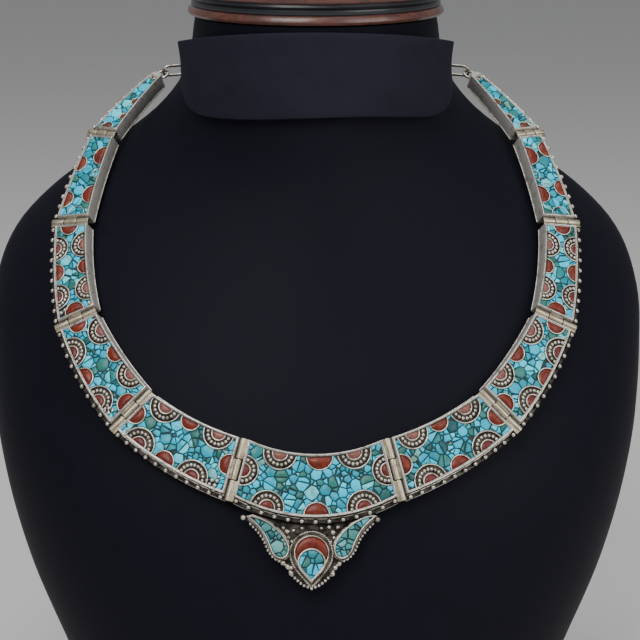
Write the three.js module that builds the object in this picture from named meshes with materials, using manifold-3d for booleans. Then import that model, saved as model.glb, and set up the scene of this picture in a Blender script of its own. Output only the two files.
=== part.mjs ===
// A bib necklace on a padded neck bust: eleven hinged box plaques, a pendant fixed under the centre plaque
// and a cable chain behind the neck. Millimetres, +Z up, front toward -Y, the bust's base on Z = 0.
import * as THREE from 'three';
import { mergeVertices } from 'three/addons/utils/BufferGeometryUtils.js';
import Module from 'manifold-3d';

const wasm = await Module();
wasm.setup();

// Place of the centre plaque's face on the bust
const CENTRE_HEIGHT = 118;
const CENTRE_DEPTH = -63.7;
const CENTRE_LEAN = 25;
const HINGE_RISE = 5.5;

// Plaques from the centre to the tip. length runs from hinge to hinge. The face reaches from the hinge line's middle
// by nearInner and nearOuter at the near end, and by farInner and farOuter at the far one. turn is the bend in the
// plaque's own plane, fold the angle at its near hinge, and the two bows are those of its edges.
const PLAQUES = [
  {
    length: 53.0, nearInner: 10.7, nearOuter: 8.7, farInner: 10.7, farOuter: 8.7,
    turn: 29.5, fold: 0.0, innerBow: 4.8, outerBow: 6.9,
  },
  {
    length: 42.7, nearInner: 10.7, nearOuter: 8.7, farInner: 9.0, farOuter: 8.0,
    turn: 31.0, fold: 12.5, innerBow: 1.3, outerBow: 1.85,
  },
  {
    length: 41.2, nearInner: 9.0, nearOuter: 8.0, farInner: 6.5, farOuter: 7.6,
    turn: 23.5, fold: 8.5, innerBow: 1.0, outerBow: 1.7,
  },
  {
    length: 39.0, nearInner: 6.5, nearOuter: 7.6, farInner: 4.85, farOuter: 7.65,
    turn: 23.0, fold: 6.0, innerBow: 1.1, outerBow: 1.1,
  },
  {
    length: 38.4, nearInner: 4.85, nearOuter: 7.65, farInner: 3.6, farOuter: 6.1,
    turn: 12.0, fold: 6.5, innerBow: 0.7, outerBow: 0.8,
  },
  {
    length: 33.0, nearInner: 3.6, nearOuter: 6.1, farInner: 2.7, farOuter: 2.0,
    turn: 20.0, fold: 10.0, innerBow: 0.6, outerBow: 0.8,
  },
];

// Half discs set against the edges of each plaque: at runs from the near hinge along the long edges, and from the
// inner edge along the two ends. left replaces it on the left side.
const MOTIFS = [
  [
    { kind: 'medallion', edge: 'inner', at: 0.235, radius: 5.8 },
    { kind: 'coral', edge: 'inner', at: 0.53, radius: 4.6 },
    { kind: 'medallion', edge: 'inner', at: 0.79, radius: 5.8 },
    { kind: 'medallion', edge: 'outer', at: 0.2, radius: 5.9 },
    { kind: 'coral', edge: 'outer', at: 0.507, radius: 4.5 },
    { kind: 'medallion', edge: 'outer', at: 0.8, radius: 6.0 },
    { kind: 'medallion', edge: 'near', at: 0.53, radius: 5.3 },
    { kind: 'medallion', edge: 'far', at: 0.525, radius: 5.4 },
  ],
  [
    { kind: 'medallion', edge: 'inner', at: 0.19, radius: 5.6 },
    { kind: 'coral', edge: 'inner', at: 0.49, radius: 3.6, left: 0.515 },
    { kind: 'medallion', edge: 'inner', at: 0.81, radius: 5.8, left: 0.82 },
    { kind: 'medallion', edge: 'outer', at: 0.2, radius: 6.0, left: 0.28 },
    { kind: 'coral', edge: 'outer', at: 0.48, radius: 3.9, left: 0.545 },
    { kind: 'medallion', edge: 'outer', at: 0.755, radius: 5.9, left: 0.8 },
    { kind: 'coral', edge: 'near', at: 0.5, radius: 3.7 },
    { kind: 'coral', edge: 'far', at: 0.58, radius: 3.7, left: 0.52 },
  ],
  [
    { kind: 'medallion', edge: 'inner', at: 0.205, radius: 5.6 },
    { kind: 'coral', edge: 'inner', at: 0.505, radius: 3.6 },
    { kind: 'medallion', edge: 'inner', at: 0.815, radius: 5.5 },
    { kind: 'medallion', edge: 'outer', at: 0.215, radius: 5.8 },
    { kind: 'coral', edge: 'outer', at: 0.485, radius: 3.9 },
    { kind: 'medallion', edge: 'outer', at: 0.76, radius: 5.8 },
    { kind: 'coral', edge: 'near', at: 0.51, radius: 3.7 },
    { kind: 'coral', edge: 'far', at: 0.6, radius: 3.6, left: 0.53 },
  ],
  [
    { kind: 'medallion', edge: 'inner', at: 0.215, radius: 5.0 },
    { kind: 'coral', edge: 'inner', at: 0.49, radius: 3.1 },
    { kind: 'medallion', edge: 'inner', at: 0.765, radius: 5.1 },
    { kind: 'medallion', edge: 'outer', at: 0.228, radius: 5.1 },
    { kind: 'coral', edge: 'outer', at: 0.49, radius: 3.7 },
    { kind: 'medallion', edge: 'outer', at: 0.755, radius: 5.1 },
    { kind: 'coral', edge: 'near', at: 0.52, radius: 3.8 },
    { kind: 'coral', edge: 'far', at: 0.54, radius: 3.6 },
  ],
  [
    { kind: 'soldered', edge: 'inner', at: 0.25, radius: 3.9 },
    { kind: 'soldered', edge: 'inner', at: 0.76, radius: 4.1 },
    { kind: 'soldered', edge: 'outer', at: 0.333, radius: 3.7, left: 0.195 },
    { kind: 'soldered', edge: 'outer', at: 0.83, radius: 3.6, left: 0.644 },
  ],
  [
    { kind: 'soldered', edge: 'near', at: 0.5, radius: 2.6 },
    { kind: 'soldered', edge: 'inner', at: 0.22, radius: 1.9 },
    { kind: 'soldered', edge: 'inner', at: 0.52, radius: 1.9 },
    { kind: 'soldered', edge: 'far', at: 0.5, radius: 1.4 },
  ],
];

// Box plaques
const CASE_DEPTH = 5.5;
const RECESS_DEPTH = 1.6;
const WALL = 0.8;
const RIM_RISE = 0.15;
const BEZEL = 0.55;
const GROUND_DROP = 0.6;
const INLAY_THICKNESS = 1.0;
const FIT = 0.3;
const ARC_STEPS = 4;
const DISC_STEPS = 4;
const TIP_ROUND = 2.2;
const LEDGE_WIDTH = 1.9;
const LEDGE_DROP = 2.2;

// Barrel hinges between plaques
const HINGE_ROOM = 1.7;
const HINGE_SINK = 1.5;
const KNUCKLE_RADIUS = 1.15;
const PIN_RADIUS = 0.45;
const BORE_RADIUS = 0.78;
const LEAF_THICKNESS = 0.9;
const KNUCKLE_SIDES = 7;

// Pendant, in the centre plaque's plane, its axis a little to the left
const PENDANT_SHIFT = -1.3;
const PLATE_BACK = -5.4;
const PLATE_FRONT = -4.3;
const COLLET_TOP = -1.8;
const COLLET_WALL = 0.6;
const DROP_TOP_CENTRE = -21.9;
const DROP_RADIUS = 6.6;
const DROP_POINT = -32.2;
const TEAR_CENTRE = -25.0;
const TEAR_RADIUS = 4.6;
const TEAR_POINT = -31.0;

// Chain and hook behind the neck
const WIRE_RADIUS = 0.55;
const LINK_WIDTH = 5.2;
const LINK_SIDES = 10;
const LINK_OVERLAP = 0.3;
const LINKS_PER_SIDE = 8;
const CHAIN_CLEARANCE = 3.1;
const EYE_RADIUS = 2.0;
const EYE_OFFSET = -0.5;
const HOOK_LENGTH = 12;
const HOOK_WIDTH = 6.4;
const HOOK_WIRE = 0.7;
const CHAIN_RISE = 123;

// Sections of the bust from the base up: level from the centre plaque, half width, front, depth of the widest
// line, squareness of the front half, and back.
const SECTIONS = [
  { level: -118, half: 73.5, front: -17.4, widest: 46, power: 2.05, back: 91 },
  { level: -80, half: 90.5, front: -12.9, widest: 60.4, power: 2.05, back: 100 },
  { level: -45, half: 106.5, front: -7.0, widest: 73.7, power: 2.2, back: 110 },
  { level: -10, half: 117.3, front: 2.6, widest: 87.7, power: 2.23, back: 120 },
  { level: 20, half: 121.6, front: 16.4, widest: 99.5, power: 2.05, back: 128 },
  { level: 45, half: 121.2, front: 29.3, widest: 107.9, power: 1.8, back: 134 },
  { level: 65, half: 113.0, front: 38.6, widest: 113.1, power: 1.6, back: 138 },
  { level: 80, half: 98.6, front: 43.9, widest: 114.5, power: 1.47, back: 140 },
  { level: 95, half: 78.0, front: 47.6, widest: 112.7, power: 1.44, back: 140 },
  { level: 110, half: 58.8, front: 49.5, widest: 107.2, power: 1.59, back: 139.5 },
  { level: 125, half: 47.7, front: 49.9, widest: 97.5, power: 1.9, back: 139 },
  { level: 145, half: 43.4, front: 49.3, widest: 93.9, power: 2.03, back: 138 },
];
const BACK_POWER = 2.2;
const BUST_ROWS = 17;
const BUST_SIDES = 36;
const BASE_ROUND = 3;

// Wooden cap and flap of the covering on the neck
const CAP_CENTRE_DEPTH = 93.8;
const CAP_LEVEL = 145.3;
const CAP_SIDES = 24;
const CAP_PROFILE = [
  { radius: 0, height: 0 },
  { radius: 43.6, height: 0 },
  { radius: 44.8, height: 1.4 },
  { radius: 44.8, height: 5.0 },
  { radius: 43.4, height: 6.2 },
  { radius: 43.4, height: 7.4 },
  { radius: 44.6, height: 8.6 },
  { radius: 44.2, height: 13.0 },
  { radius: 40.5, height: 16.5 },
  { radius: 22.0, height: 19.5 },
  { radius: 0, height: 20.2 },
];
const FLAP_HALF_ANGLE = 68;
const FLAP_TOP = 143.5;
const FLAP_BOTTOM = 113.5;
const FLAP_THICKNESS = 1.6;
const FLAP_COLUMNS = 14;

const SILVER = { color: 0xb7b2a6, roughness: 0.38, metalness: 1.0 };
const TURQUOISE = { color: 0x4fb4c4, roughness: 0.4, metalness: 0.0 };
const CORAL = { color: 0x8e2a17, roughness: 0.25, metalness: 0.0 };
const LEATHERETTE = { color: 0x17181f, roughness: 0.55, metalness: 0.0 };
const WOOD = { color: 0x4a2013, roughness: 0.35, metalness: 0.0 };

const radians = THREE.MathUtils.degToRad;
const SIDE_LETTERS = ['r', 'l'];

// Solids

function toSolid(geometry) {
  const bare = geometry.clone();
  bare.deleteAttribute('normal');
  bare.deleteAttribute('uv');
  const merged = mergeVertices(bare, 1e-4);
  const vertProperties = Float32Array.from(merged.attributes.position.array);
  const triVerts = Uint32Array.from(merged.index.array);
  return new wasm.Manifold(new wasm.Mesh({ numProp: 3, vertProperties, triVerts }));
}

function toGeometry(solid) {
  const mesh = solid.getMesh();
  const geometry = new THREE.BufferGeometry();
  geometry.setAttribute('position', new THREE.BufferAttribute(mesh.vertProperties, 3));
  geometry.setIndex(new THREE.BufferAttribute(mesh.triVerts, 1));
  geometry.computeVertexNormals();
  return geometry;
}

// A closed body through rings of points, each ring with the same number, its two ends closed by a fan.
function loft(rings) {
  const count = rings[0].length;
  const points = rings.flat();
  const faces = [];
  for (let row = 0; row + 1 < rings.length; row += 1) {
    for (let side = 0; side < count; side += 1) {
      const next = (side + 1) % count;
      const a = row * count + side;
      const b = row * count + next;
      faces.push(a, b, b + count, a, b + count, a + count);
    }
  }
  [0, rings.length - 1].forEach((row, end) => {
    const middle = new THREE.Vector3();
    rings[row].forEach((point) => middle.addScaledVector(point, 1 / count));
    points.push(middle);
    for (let side = 0; side < count; side += 1) {
      const a = row * count + side;
      const b = row * count + ((side + 1) % count);
      faces.push(points.length - 1, end ? a : b, end ? b : a);
    }
  });
  if (volumeOf(points, faces) < 0) {
    faces.reverse();
  }
  const geometry = new THREE.BufferGeometry().setFromPoints(points);
  geometry.setIndex(faces);
  geometry.computeVertexNormals();
  return geometry;
}

// The volume that triangles close in, below zero where they face inward.
function volumeOf(points, faces) {
  let volume = 0;
  for (let index = 0; index < faces.length; index += 3) {
    const [a, b, c] = [0, 1, 2].map((step) => points[faces[index + step]]);
    volume += a.dot(new THREE.Vector3().crossVectors(b, c)) / 6;
  }
  return volume;
}

function slab(shape, bottom, top, curveSegments = DISC_STEPS) {
  const settings = { depth: top - bottom, bevelEnabled: false, curveSegments };
  return new THREE.ExtrudeGeometry(shape, settings).translate(0, 0, bottom);
}

// A wire ring stretched along x, in the xy plane.
function wireLink(length, width, wire) {
  const reach = width / 2 - wire;
  const stretch = (length - width) / 2;
  const geometry = new THREE.TorusGeometry(reach, wire, 5, LINK_SIDES);
  const position = geometry.attributes.position;
  for (let index = 0; index < position.count; index += 1) {
    position.setX(index, position.getX(index) + Math.sign(position.getX(index)) * stretch);
  }
  return geometry;
}

// Outlines of a plaque's face

// The arc from start to end that bows toward -y, as a function of the share of its length.
function bow(start, end, height) {
  const along = end.clone().sub(start);
  const chord = along.length();
  along.normalize();
  const side = new THREE.Vector2(along.y, -along.x);
  const radius = (chord * chord / 4 + height * height) / (2 * height);
  const centre = start.clone().lerp(end, 0.5).addScaledVector(side, height - radius);
  const half = Math.asin(chord / 2 / radius);
  return (share) => {
    const angle = (2 * share - 1) * half;
    const out = side.clone().multiplyScalar(Math.cos(angle)).addScaledVector(along, Math.sin(angle));
    return { point: centre.clone().addScaledVector(out, radius), out };
  };
}

// The four corners of the face, drawn in by room at the hinges and by inset along the edges, and let out by a ledge
// along the outer edge.
function corners(plaque, room, inset, ledge = 0) {
  const half = radians(plaque.turn / 2);
  const origin = new THREE.Vector2();
  const near = (across) => new THREE.Vector2(room, across).rotateAround(origin, -half);
  const far = (across) => {
    const point = new THREE.Vector2(-room, across).rotateAround(origin, half);
    return point.add(new THREE.Vector2(plaque.length, 0));
  };
  return {
    innerNear: near(plaque.nearInner - inset),
    outerNear: near(inset - plaque.nearOuter - ledge),
    innerFar: far(plaque.farInner - inset),
    outerFar: far(inset - plaque.farOuter - ledge),
  };
}

function edgesOf(plaque, room, inset, ledge = 0) {
  const corner = corners(plaque, room, inset, ledge);
  return {
    corner,
    inner: bow(corner.innerNear, corner.innerFar, plaque.innerBow),
    outer: bow(corner.outerNear, corner.outerFar, plaque.outerBow),
  };
}

function faceShape(plaque, room, inset, isTip, ledge = 0) {
  const edges = edgesOf(plaque, room, inset, ledge);
  const points = [];
  for (let step = 0; step <= ARC_STEPS; step += 1) {
    points.push(edges.inner(step / ARC_STEPS).point);
  }
  if (isTip) {
    const round = bow(edges.corner.outerFar, edges.corner.innerFar, TIP_ROUND);
    for (let step = ARC_STEPS - 1; step > 0; step -= 1) {
      points.push(round(step / ARC_STEPS).point);
    }
  }
  for (let step = ARC_STEPS; step >= 0; step -= 1) {
    points.push(edges.outer(step / ARC_STEPS).point);
  }
  return new THREE.Shape(points);
}

// Middle of a half disc on the recess's edge, and the angle of its way toward the middle of the face.
function seatOf(plaque, motif) {
  const edges = edgesOf(plaque, HINGE_ROOM + WALL, WALL);
  if (motif.edge === 'inner' || motif.edge === 'outer') {
    const { point, out } = edges[motif.edge](motif.at);
    const way = motif.edge === 'inner' ? out.angle() : out.angle() + Math.PI;
    return { point, way };
  }
  const isNear = motif.edge === 'near';
  const start = isNear ? edges.corner.innerNear : edges.corner.innerFar;
  const end = isNear ? edges.corner.outerNear : edges.corner.outerFar;
  const half = radians(plaque.turn / 2);
  return { point: start.clone().lerp(end, motif.at), way: isNear ? -half : Math.PI + half };
}

// A half disc whose straight side faces the edge: a skirt carries it on into the wall, a trim cuts it short of it.
function halfDisc(seat, radius, skirt, trim = 0) {
  const along = new THREE.Vector2(Math.cos(seat.way), Math.sin(seat.way));
  const across = new THREE.Vector2(-along.y, along.x);
  const at = (forward, sideways) => {
    return seat.point.clone().addScaledVector(along, forward).addScaledVector(across, sideways);
  };
  const spread = Math.acos(trim / radius);
  const points = [];
  for (let step = 0; step <= DISC_STEPS; step += 1) {
    const angle = spread * (2 * step / DISC_STEPS - 1);
    points.push(at(radius * Math.cos(angle), radius * Math.sin(angle)));
  }
  if (skirt > 0) {
    points.push(at(-skirt, radius), at(-skirt, -radius));
  }
  return new THREE.Shape(points);
}

// Pieces of a plaque

// How far a hinge reaches inwards and outwards of its line's middle.
function hingeReach(plaque, atFar) {
  const inner = atFar ? plaque.farInner : plaque.nearInner;
  const outer = (atFar ? plaque.farOuter : plaque.nearOuter) + LEDGE_WIDTH;
  return { width: inner + outer, centre: (inner - outer) / 2 };
}

// The hinge's axis frame in the plaque's frame: y runs along the barrel and z points out of the face.
function hingeMatrix(plaque, atFar, fold) {
  const sign = atFar ? 1 : -1;
  const { centre } = hingeReach(plaque, atFar);
  const place = new THREE.Matrix4().makeTranslation(atFar ? plaque.length : 0, 0, 0);
  place.multiply(new THREE.Matrix4().makeRotationZ(sign * radians(plaque.turn / 2)));
  place.multiply(new THREE.Matrix4().makeRotationY(sign * radians(fold / 2)));
  return place.multiply(new THREE.Matrix4().makeTranslation(0, centre, -HINGE_SINK));
}

function knuckleSolid(centre, length, towardFace) {
  const barrel = new THREE.CylinderGeometry(KNUCKLE_RADIUS, KNUCKLE_RADIUS, length, KNUCKLE_SIDES);
  const reach = HINGE_ROOM + WALL / 2;
  const leaf = new THREE.BoxGeometry(reach, length, LEAF_THICKNESS).translate(towardFace * reach / 2, 0, 0);
  return toSolid(barrel).add(toSolid(leaf)).translate([0, centre, 0]);
}

function knuckleLength(width) {
  return (width - 2 * FIT) / 3;
}

// Two outer knuckles with the pin fast in them.
function outerKnuckles(width, towardFace) {
  const length = knuckleLength(width);
  const offset = length + FIT;
  const pin = new THREE.CylinderGeometry(PIN_RADIUS, PIN_RADIUS, width - length, 6);
  const upper = knuckleSolid(offset, length, towardFace);
  const lower = knuckleSolid(-offset, length, towardFace);
  return upper.add(lower).add(toSolid(pin));
}

function middleKnuckle(width, towardFace) {
  const length = knuckleLength(width);
  const bore = new THREE.CylinderGeometry(BORE_RADIUS, BORE_RADIUS, width, KNUCKLE_SIDES);
  return knuckleSolid(0, length, towardFace).subtract(toSolid(bore));
}

function placed(solid, matrix) {
  return solid.transform(matrix.elements);
}

function medallionSolids(plaque, motif) {
  const seat = seatOf(plaque, motif);
  const floor = -RECESS_DEPTH - 0.2;
  const body = toSolid(slab(halfDisc(seat, motif.radius, WALL / 2), floor, RIM_RISE));
  const ground = slab(halfDisc(seat, motif.radius - BEZEL, 0), -GROUND_DROP, 1);
  return body.subtract(toSolid(ground));
}

function bezelSolid(plaque, motif) {
  const seat = seatOf(plaque, motif);
  const body = toSolid(slab(halfDisc(seat, motif.radius, WALL / 2), -RECESS_DEPTH - 0.2, RIM_RISE));
  if (motif.kind === 'soldered') {
    return body;
  }
  const inside = slab(halfDisc(seat, motif.radius - BEZEL, 0), -RECESS_DEPTH, 1);
  return body.subtract(toSolid(inside));
}

// The half discs of one plaque on one side.
function motifsOf(index, isLeft) {
  return MOTIFS[index].map((motif) => ({ ...motif, at: isLeft && motif.left ? motif.left : motif.at }));
}

function caseSolid(index, isLeft) {
  const plaque = PLAQUES[index];
  const isTip = index === PLAQUES.length - 1;
  const upper = toSolid(slab(faceShape(plaque, HINGE_ROOM, 0, isTip), -CASE_DEPTH, 0));
  const lower = toSolid(slab(faceShape(plaque, HINGE_ROOM, 0, isTip, LEDGE_WIDTH), -CASE_DEPTH, -LEDGE_DROP));
  const recess = slab(faceShape(plaque, HINGE_ROOM + WALL, WALL, false), -RECESS_DEPTH, 1);
  let solid = upper.add(lower).subtract(toSolid(recess));
  motifsOf(index, isLeft).forEach((motif) => {
    const build = motif.kind === 'medallion' ? medallionSolids : bezelSolid;
    solid = solid.add(build(plaque, motif));
  });
  const nearHinge = index === 0 ? hingeMatrix(plaque, false, PLAQUES[1].fold) : hingeMatrix(plaque, false, plaque.fold);
  const nearWidth = hingeReach(plaque, false).width;
  const nearKnuckles = index === 0 ? outerKnuckles(nearWidth, 1) : middleKnuckle(nearWidth, 1);
  solid = solid.add(placed(nearKnuckles, nearHinge));
  if (isTip) {
    return solid.add(placed(toSolid(eyeGeometry()), eyeMatrix()));
  }
  const farHinge = hingeMatrix(plaque, true, PLAQUES[index + 1].fold);
  return solid.add(placed(outerKnuckles(hingeReach(plaque, true).width, -1), farHinge));
}

function inlaySolid(index, isLeft) {
  const plaque = PLAQUES[index];
  const shape = faceShape(plaque, HINGE_ROOM + WALL + FIT, WALL + FIT, false);
  const bottom = -RECESS_DEPTH + FIT;
  let solid = toSolid(slab(shape, bottom, bottom + INLAY_THICKNESS));
  motifsOf(index, isLeft).forEach((motif) => {
    const clear = slab(halfDisc(seatOf(plaque, motif), motif.radius + FIT, WALL), -RECESS_DEPTH, 1);
    solid = solid.subtract(toSolid(clear));
  });
  return solid;
}

function coralGeometry(plaque, motif) {
  const bevel = 0.4;
  const radius = motif.radius - BEZEL - FIT - bevel;
  const shape = halfDisc(seatOf(plaque, motif), radius, 0, FIT + bevel + 0.1);
  const bottom = -RECESS_DEPTH + FIT + bevel;
  const settings = { depth: -bottom, bevelSize: bevel, bevelThickness: bevel, bevelSegments: 1 };
  return new THREE.ExtrudeGeometry(shape, settings).translate(0, 0, bottom);
}

// The eye at the end of the last plaque, and the frame of its middle.
function eyeGeometry() {
  return wireLink(2 * (EYE_RADIUS + WIRE_RADIUS), 2 * (EYE_RADIUS + WIRE_RADIUS), WIRE_RADIUS);
}

function eyeMatrix() {
  const plaque = PLAQUES[PLAQUES.length - 1];
  const half = radians(plaque.turn / 2);
  const place = new THREE.Matrix4().makeTranslation(plaque.length, 0, -CASE_DEPTH / 2);
  place.multiply(new THREE.Matrix4().makeRotationZ(half));
  return place.multiply(new THREE.Matrix4().makeTranslation(TIP_ROUND - HINGE_ROOM + EYE_RADIUS - 0.4, EYE_OFFSET, 0));
}

// Pendant

function wingShape(grow) {
  const shape = new THREE.Shape();
  shape.moveTo(20.9 + grow, -9.9 + grow);
  shape.bezierCurveTo(14.5, -10.2 + grow, 7.5 - grow, -17.0, 7.9 - grow, -21.0);
  shape.bezierCurveTo(8.1 - grow, -24.2 - grow, 11.3 + grow, -24.6 - grow, 12.9 + grow, -21.4);
  shape.bezierCurveTo(14.8 + grow, -17.6, 18.0 + grow, -14.6, 20.9 + grow, -9.9 + grow);
  return shape;
}

// A drop with its round end up and its point down.
function dropShape(centre, radius, point) {
  const shape = new THREE.Shape();
  shape.moveTo(0, point);
  shape.bezierCurveTo(0.3 * radius, 0.75 * point + 0.25 * centre, radius, 0.4 * point + 0.6 * centre, radius, centre);
  shape.absarc(0, centre, radius, 0, Math.PI, false);
  shape.bezierCurveTo(-radius, 0.4 * point + 0.6 * centre, -0.3 * radius, 0.75 * point + 0.25 * centre, 0, point);
  return shape;
}

function bigDrop(inset) {
  return dropShape(DROP_TOP_CENTRE, DROP_RADIUS - inset, DROP_POINT + 1.6 * inset);
}

function smallDrop(inset) {
  return dropShape(TEAR_CENTRE, TEAR_RADIUS - inset, TEAR_POINT + 1.6 * inset);
}

function plateShape() {
  const outer = edgesOf(PLAQUES[0], HINGE_ROOM, -FIT - 0.1, LEDGE_WIDTH).outer;
  const half = PLAQUES[0].length / 2;
  const points = [];
  for (let step = 0; step <= 8; step += 1) {
    const { point } = outer(0.14 + 0.72 * step / 8);
    points.push(new THREE.Vector2(point.x - half - PENDANT_SHIFT, point.y + HINGE_RISE));
  }
  const flank = [[22.3, -10.4], [18.4, -15.4], [14.6, -21.6], [10.6, -25.0], [6.8, -29.0], [3.4, -32.2]];
  flank.forEach(([x, y]) => points.push(new THREE.Vector2(x, y)));
  points.push(new THREE.Vector2(0, -33.6));
  flank.reverse().forEach(([x, y]) => points.push(new THREE.Vector2(-x, y)));
  return new THREE.Shape(points);
}

function mirrored(solid) {
  return solid.mirror([1, 0, 0]);
}

function pendantSetting() {
  let solid = toSolid(slab(plateShape(), PLATE_BACK, PLATE_FRONT));
  const wing = toSolid(slab(wingShape(COLLET_WALL), PLATE_BACK, COLLET_TOP));
  const wingRoom = toSolid(slab(wingShape(0), PLATE_FRONT, 1));
  const drop = toSolid(slab(bigDrop(0), PLATE_BACK, COLLET_TOP));
  const dropRoom = toSolid(slab(bigDrop(COLLET_WALL + 0.3), PLATE_FRONT, 1));
  const tear = toSolid(slab(smallDrop(0), PLATE_BACK, COLLET_TOP));
  const tearRoom = toSolid(slab(smallDrop(COLLET_WALL), PLATE_FRONT, 1));
  solid = solid.add(wing).add(mirrored(wing)).add(drop.subtract(dropRoom)).add(tear);
  return solid.subtract(wingRoom).subtract(mirrored(wingRoom)).subtract(tearRoom);
}

function crescentSolid() {
  const floor = PLATE_FRONT + FIT;
  const whole = toSolid(slab(bigDrop(COLLET_WALL + 0.3 + FIT), floor, COLLET_TOP + 0.3));
  const tear = toSolid(slab(smallDrop(-FIT), floor - 1, 1));
  const below = new THREE.BoxGeometry(40, 20, 20).translate(0, TEAR_CENTRE - 10, 0);
  return whole.subtract(tear).subtract(toSolid(below));
}

// Bust

function sectionAt(level) {
  const above = SECTIONS.findIndex((row) => row.level >= level);
  const index = Math.min(Math.max(above, 1), SECTIONS.length - 1);
  const rows = [index - 2, index - 1, index, index + 1];
  const [before, low, high, after] = rows.map((row) => SECTIONS[THREE.MathUtils.clamp(row, 0, SECTIONS.length - 1)]);
  const share = (level - low.level) / (high.level - low.level);
  const smooth = (name) => {
    const slopeOf = (a, b) => (b.level === a.level ? 0 : (b[name] - a[name]) / (b.level - a.level));
    const gap = high.level - low.level;
    const middle = slopeOf(low, high);
    const startSlope = before === low ? middle : (slopeOf(before, low) + middle) / 2;
    const endSlope = after === high ? middle : (slopeOf(high, after) + middle) / 2;
    const s2 = share * share;
    const s3 = s2 * share;
    return (2 * s3 - 3 * s2 + 1) * low[name] + (s3 - 2 * s2 + share) * gap * startSlope
      + (3 * s2 - 2 * s3) * high[name] + (s3 - s2) * gap * endSlope;
  };
  const names = ['half', 'front', 'widest', 'power', 'back'];
  return Object.fromEntries(names.map((name) => [name, smooth(name)]));
}

// A point on the bust at an angle from straight ahead, clear of its surface by an offset.
function bustPoint(level, angle, offset = 0) {
  const section = sectionAt(level);
  const isFront = Math.cos(angle) >= 0;
  const deep = isFront ? section.widest - section.front : section.back - section.widest;
  const power = isFront ? section.power : BACK_POWER;
  const x = Math.abs(Math.sin(angle)) / section.half;
  const y = Math.abs(Math.cos(angle)) / deep;
  const reach = (x ** power + y ** power) ** (-1 / power) + offset;
  return new THREE.Vector3(reach * Math.sin(angle), section.widest - reach * Math.cos(angle), level);
}

function bustRing(level, offset = 0) {
  const ring = [];
  for (let side = 0; side < BUST_SIDES; side += 1) {
    ring.push(bustPoint(level, 2 * Math.PI * side / BUST_SIDES, offset));
  }
  return ring;
}

function bustGeometry() {
  const bottom = SECTIONS[0].level;
  const top = SECTIONS[SECTIONS.length - 1].level;
  const rings = [bustRing(bottom + BASE_ROUND, -BASE_ROUND)];
  rings[0].forEach((point) => point.setZ(bottom));
  for (let row = 0; row <= BUST_ROWS; row += 1) {
    const level = THREE.MathUtils.lerp(bottom + BASE_ROUND, top, row / BUST_ROWS);
    rings.push(bustRing(level));
  }
  return loft(rings);
}

function capGeometry() {
  const profile = CAP_PROFILE.map((row) => new THREE.Vector2(row.radius, row.height));
  const turned = new THREE.LatheGeometry(profile, CAP_SIDES).rotateX(Math.PI / 2);
  return turned.translate(0, CAP_CENTRE_DEPTH, CAP_LEVEL);
}

// The flap lies on the neck at the top and lifts a little toward its wavy lower edge.
function flapGeometry() {
  const rings = [];
  for (let column = 0; column <= FLAP_COLUMNS; column += 1) {
    const share = 2 * column / FLAP_COLUMNS - 1;
    const angle = radians(FLAP_HALF_ANGLE) * share;
    const wave = 1.2 * Math.cos(Math.PI * share) + 9 * share ** 8;
    const bottom = FLAP_BOTTOM + wave;
    const top = FLAP_TOP - 6 * share ** 2;
    const levels = [top, (top + bottom) / 2, bottom];
    const lifts = [0.5 + 6 * share ** 2, 1.2 + 3.6 * share ** 2, 2 + 0.8 * share ** 2];
    const inner = levels.map((level, row) => bustPoint(level, angle, lifts[row]));
    const outer = levels.map((level, row) => bustPoint(level, angle, lifts[row] + FLAP_THICKNESS));
    rings.push([...inner, ...outer.reverse()]);
  }
  return loft(rings);
}

// Chain

// The route from the eye of the last plaque round the back of the neck to the hook's bar.
function chainRoute(eye) {
  const bar = HOOK_LENGTH / 2 - HOOK_WIRE;
  const start = Math.atan2(eye.x, sectionAt(eye.z).widest - eye.y);
  const points = [eye.clone()];
  for (let step = 1; step <= 5; step += 1) {
    const share = step / 6;
    const angle = THREE.MathUtils.lerp(start, Math.PI, share);
    const level = THREE.MathUtils.lerp(eye.z, CHAIN_RISE, Math.min(1, 1.5 * share));
    points.push(bustPoint(level, angle, CHAIN_CLEARANCE));
  }
  points.push(hookCentre().setX(bar));
  return new THREE.CatmullRomCurve3(points);
}

function hookCentre() {
  return bustPoint(CHAIN_RISE, Math.PI, CHAIN_CLEARANCE);
}

function chainGeometry(eye, eyeNormal) {
  const route = chainRoute(eye);
  const reach = route.getLength();
  const inEye = 2 * WIRE_RADIUS + FIT;
  const inHook = WIRE_RADIUS + HOOK_WIRE + FIT;
  const bite = 2 * WIRE_RADIUS - LINK_OVERLAP;
  const pitch = (reach + inEye + inHook + (LINKS_PER_SIDE - 1) * bite) / LINKS_PER_SIDE - bite;
  const length = pitch + bite + 2 * WIRE_RADIUS;
  let whole = null;
  for (let index = 0; index < LINKS_PER_SIDE; index += 1) {
    const along = -inEye + (pitch + bite) / 2 + index * pitch;
    const share = THREE.MathUtils.clamp(along / reach, 0, 1);
    const centre = route.getPointAt(share);
    const tangent = route.getTangentAt(share);
    const across = new THREE.Vector3(0, 0, 1);
    if (index === 0) {
      across.copy(eyeNormal);
    }
    const isFlat = index % 2 === 1;
    const sideways = new THREE.Vector3().crossVectors(across, tangent).normalize();
    const upright = new THREE.Vector3().crossVectors(tangent, sideways);
    const width = isFlat ? sideways : upright;
    const normal = new THREE.Vector3().crossVectors(tangent, width);
    const basis = new THREE.Matrix4().makeBasis(tangent, width, normal).setPosition(centre);
    const link = placed(toSolid(wireLink(length, LINK_WIDTH, WIRE_RADIUS)), basis);
    whole = whole ? whole.add(link) : link;
  }
  return toGeometry(whole);
}

// Assembly

function meshOf(name, geometry, finish) {
  const mesh = new THREE.Mesh(geometry, new THREE.MeshStandardMaterial(finish));
  mesh.name = name;
  return mesh;
}

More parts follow.
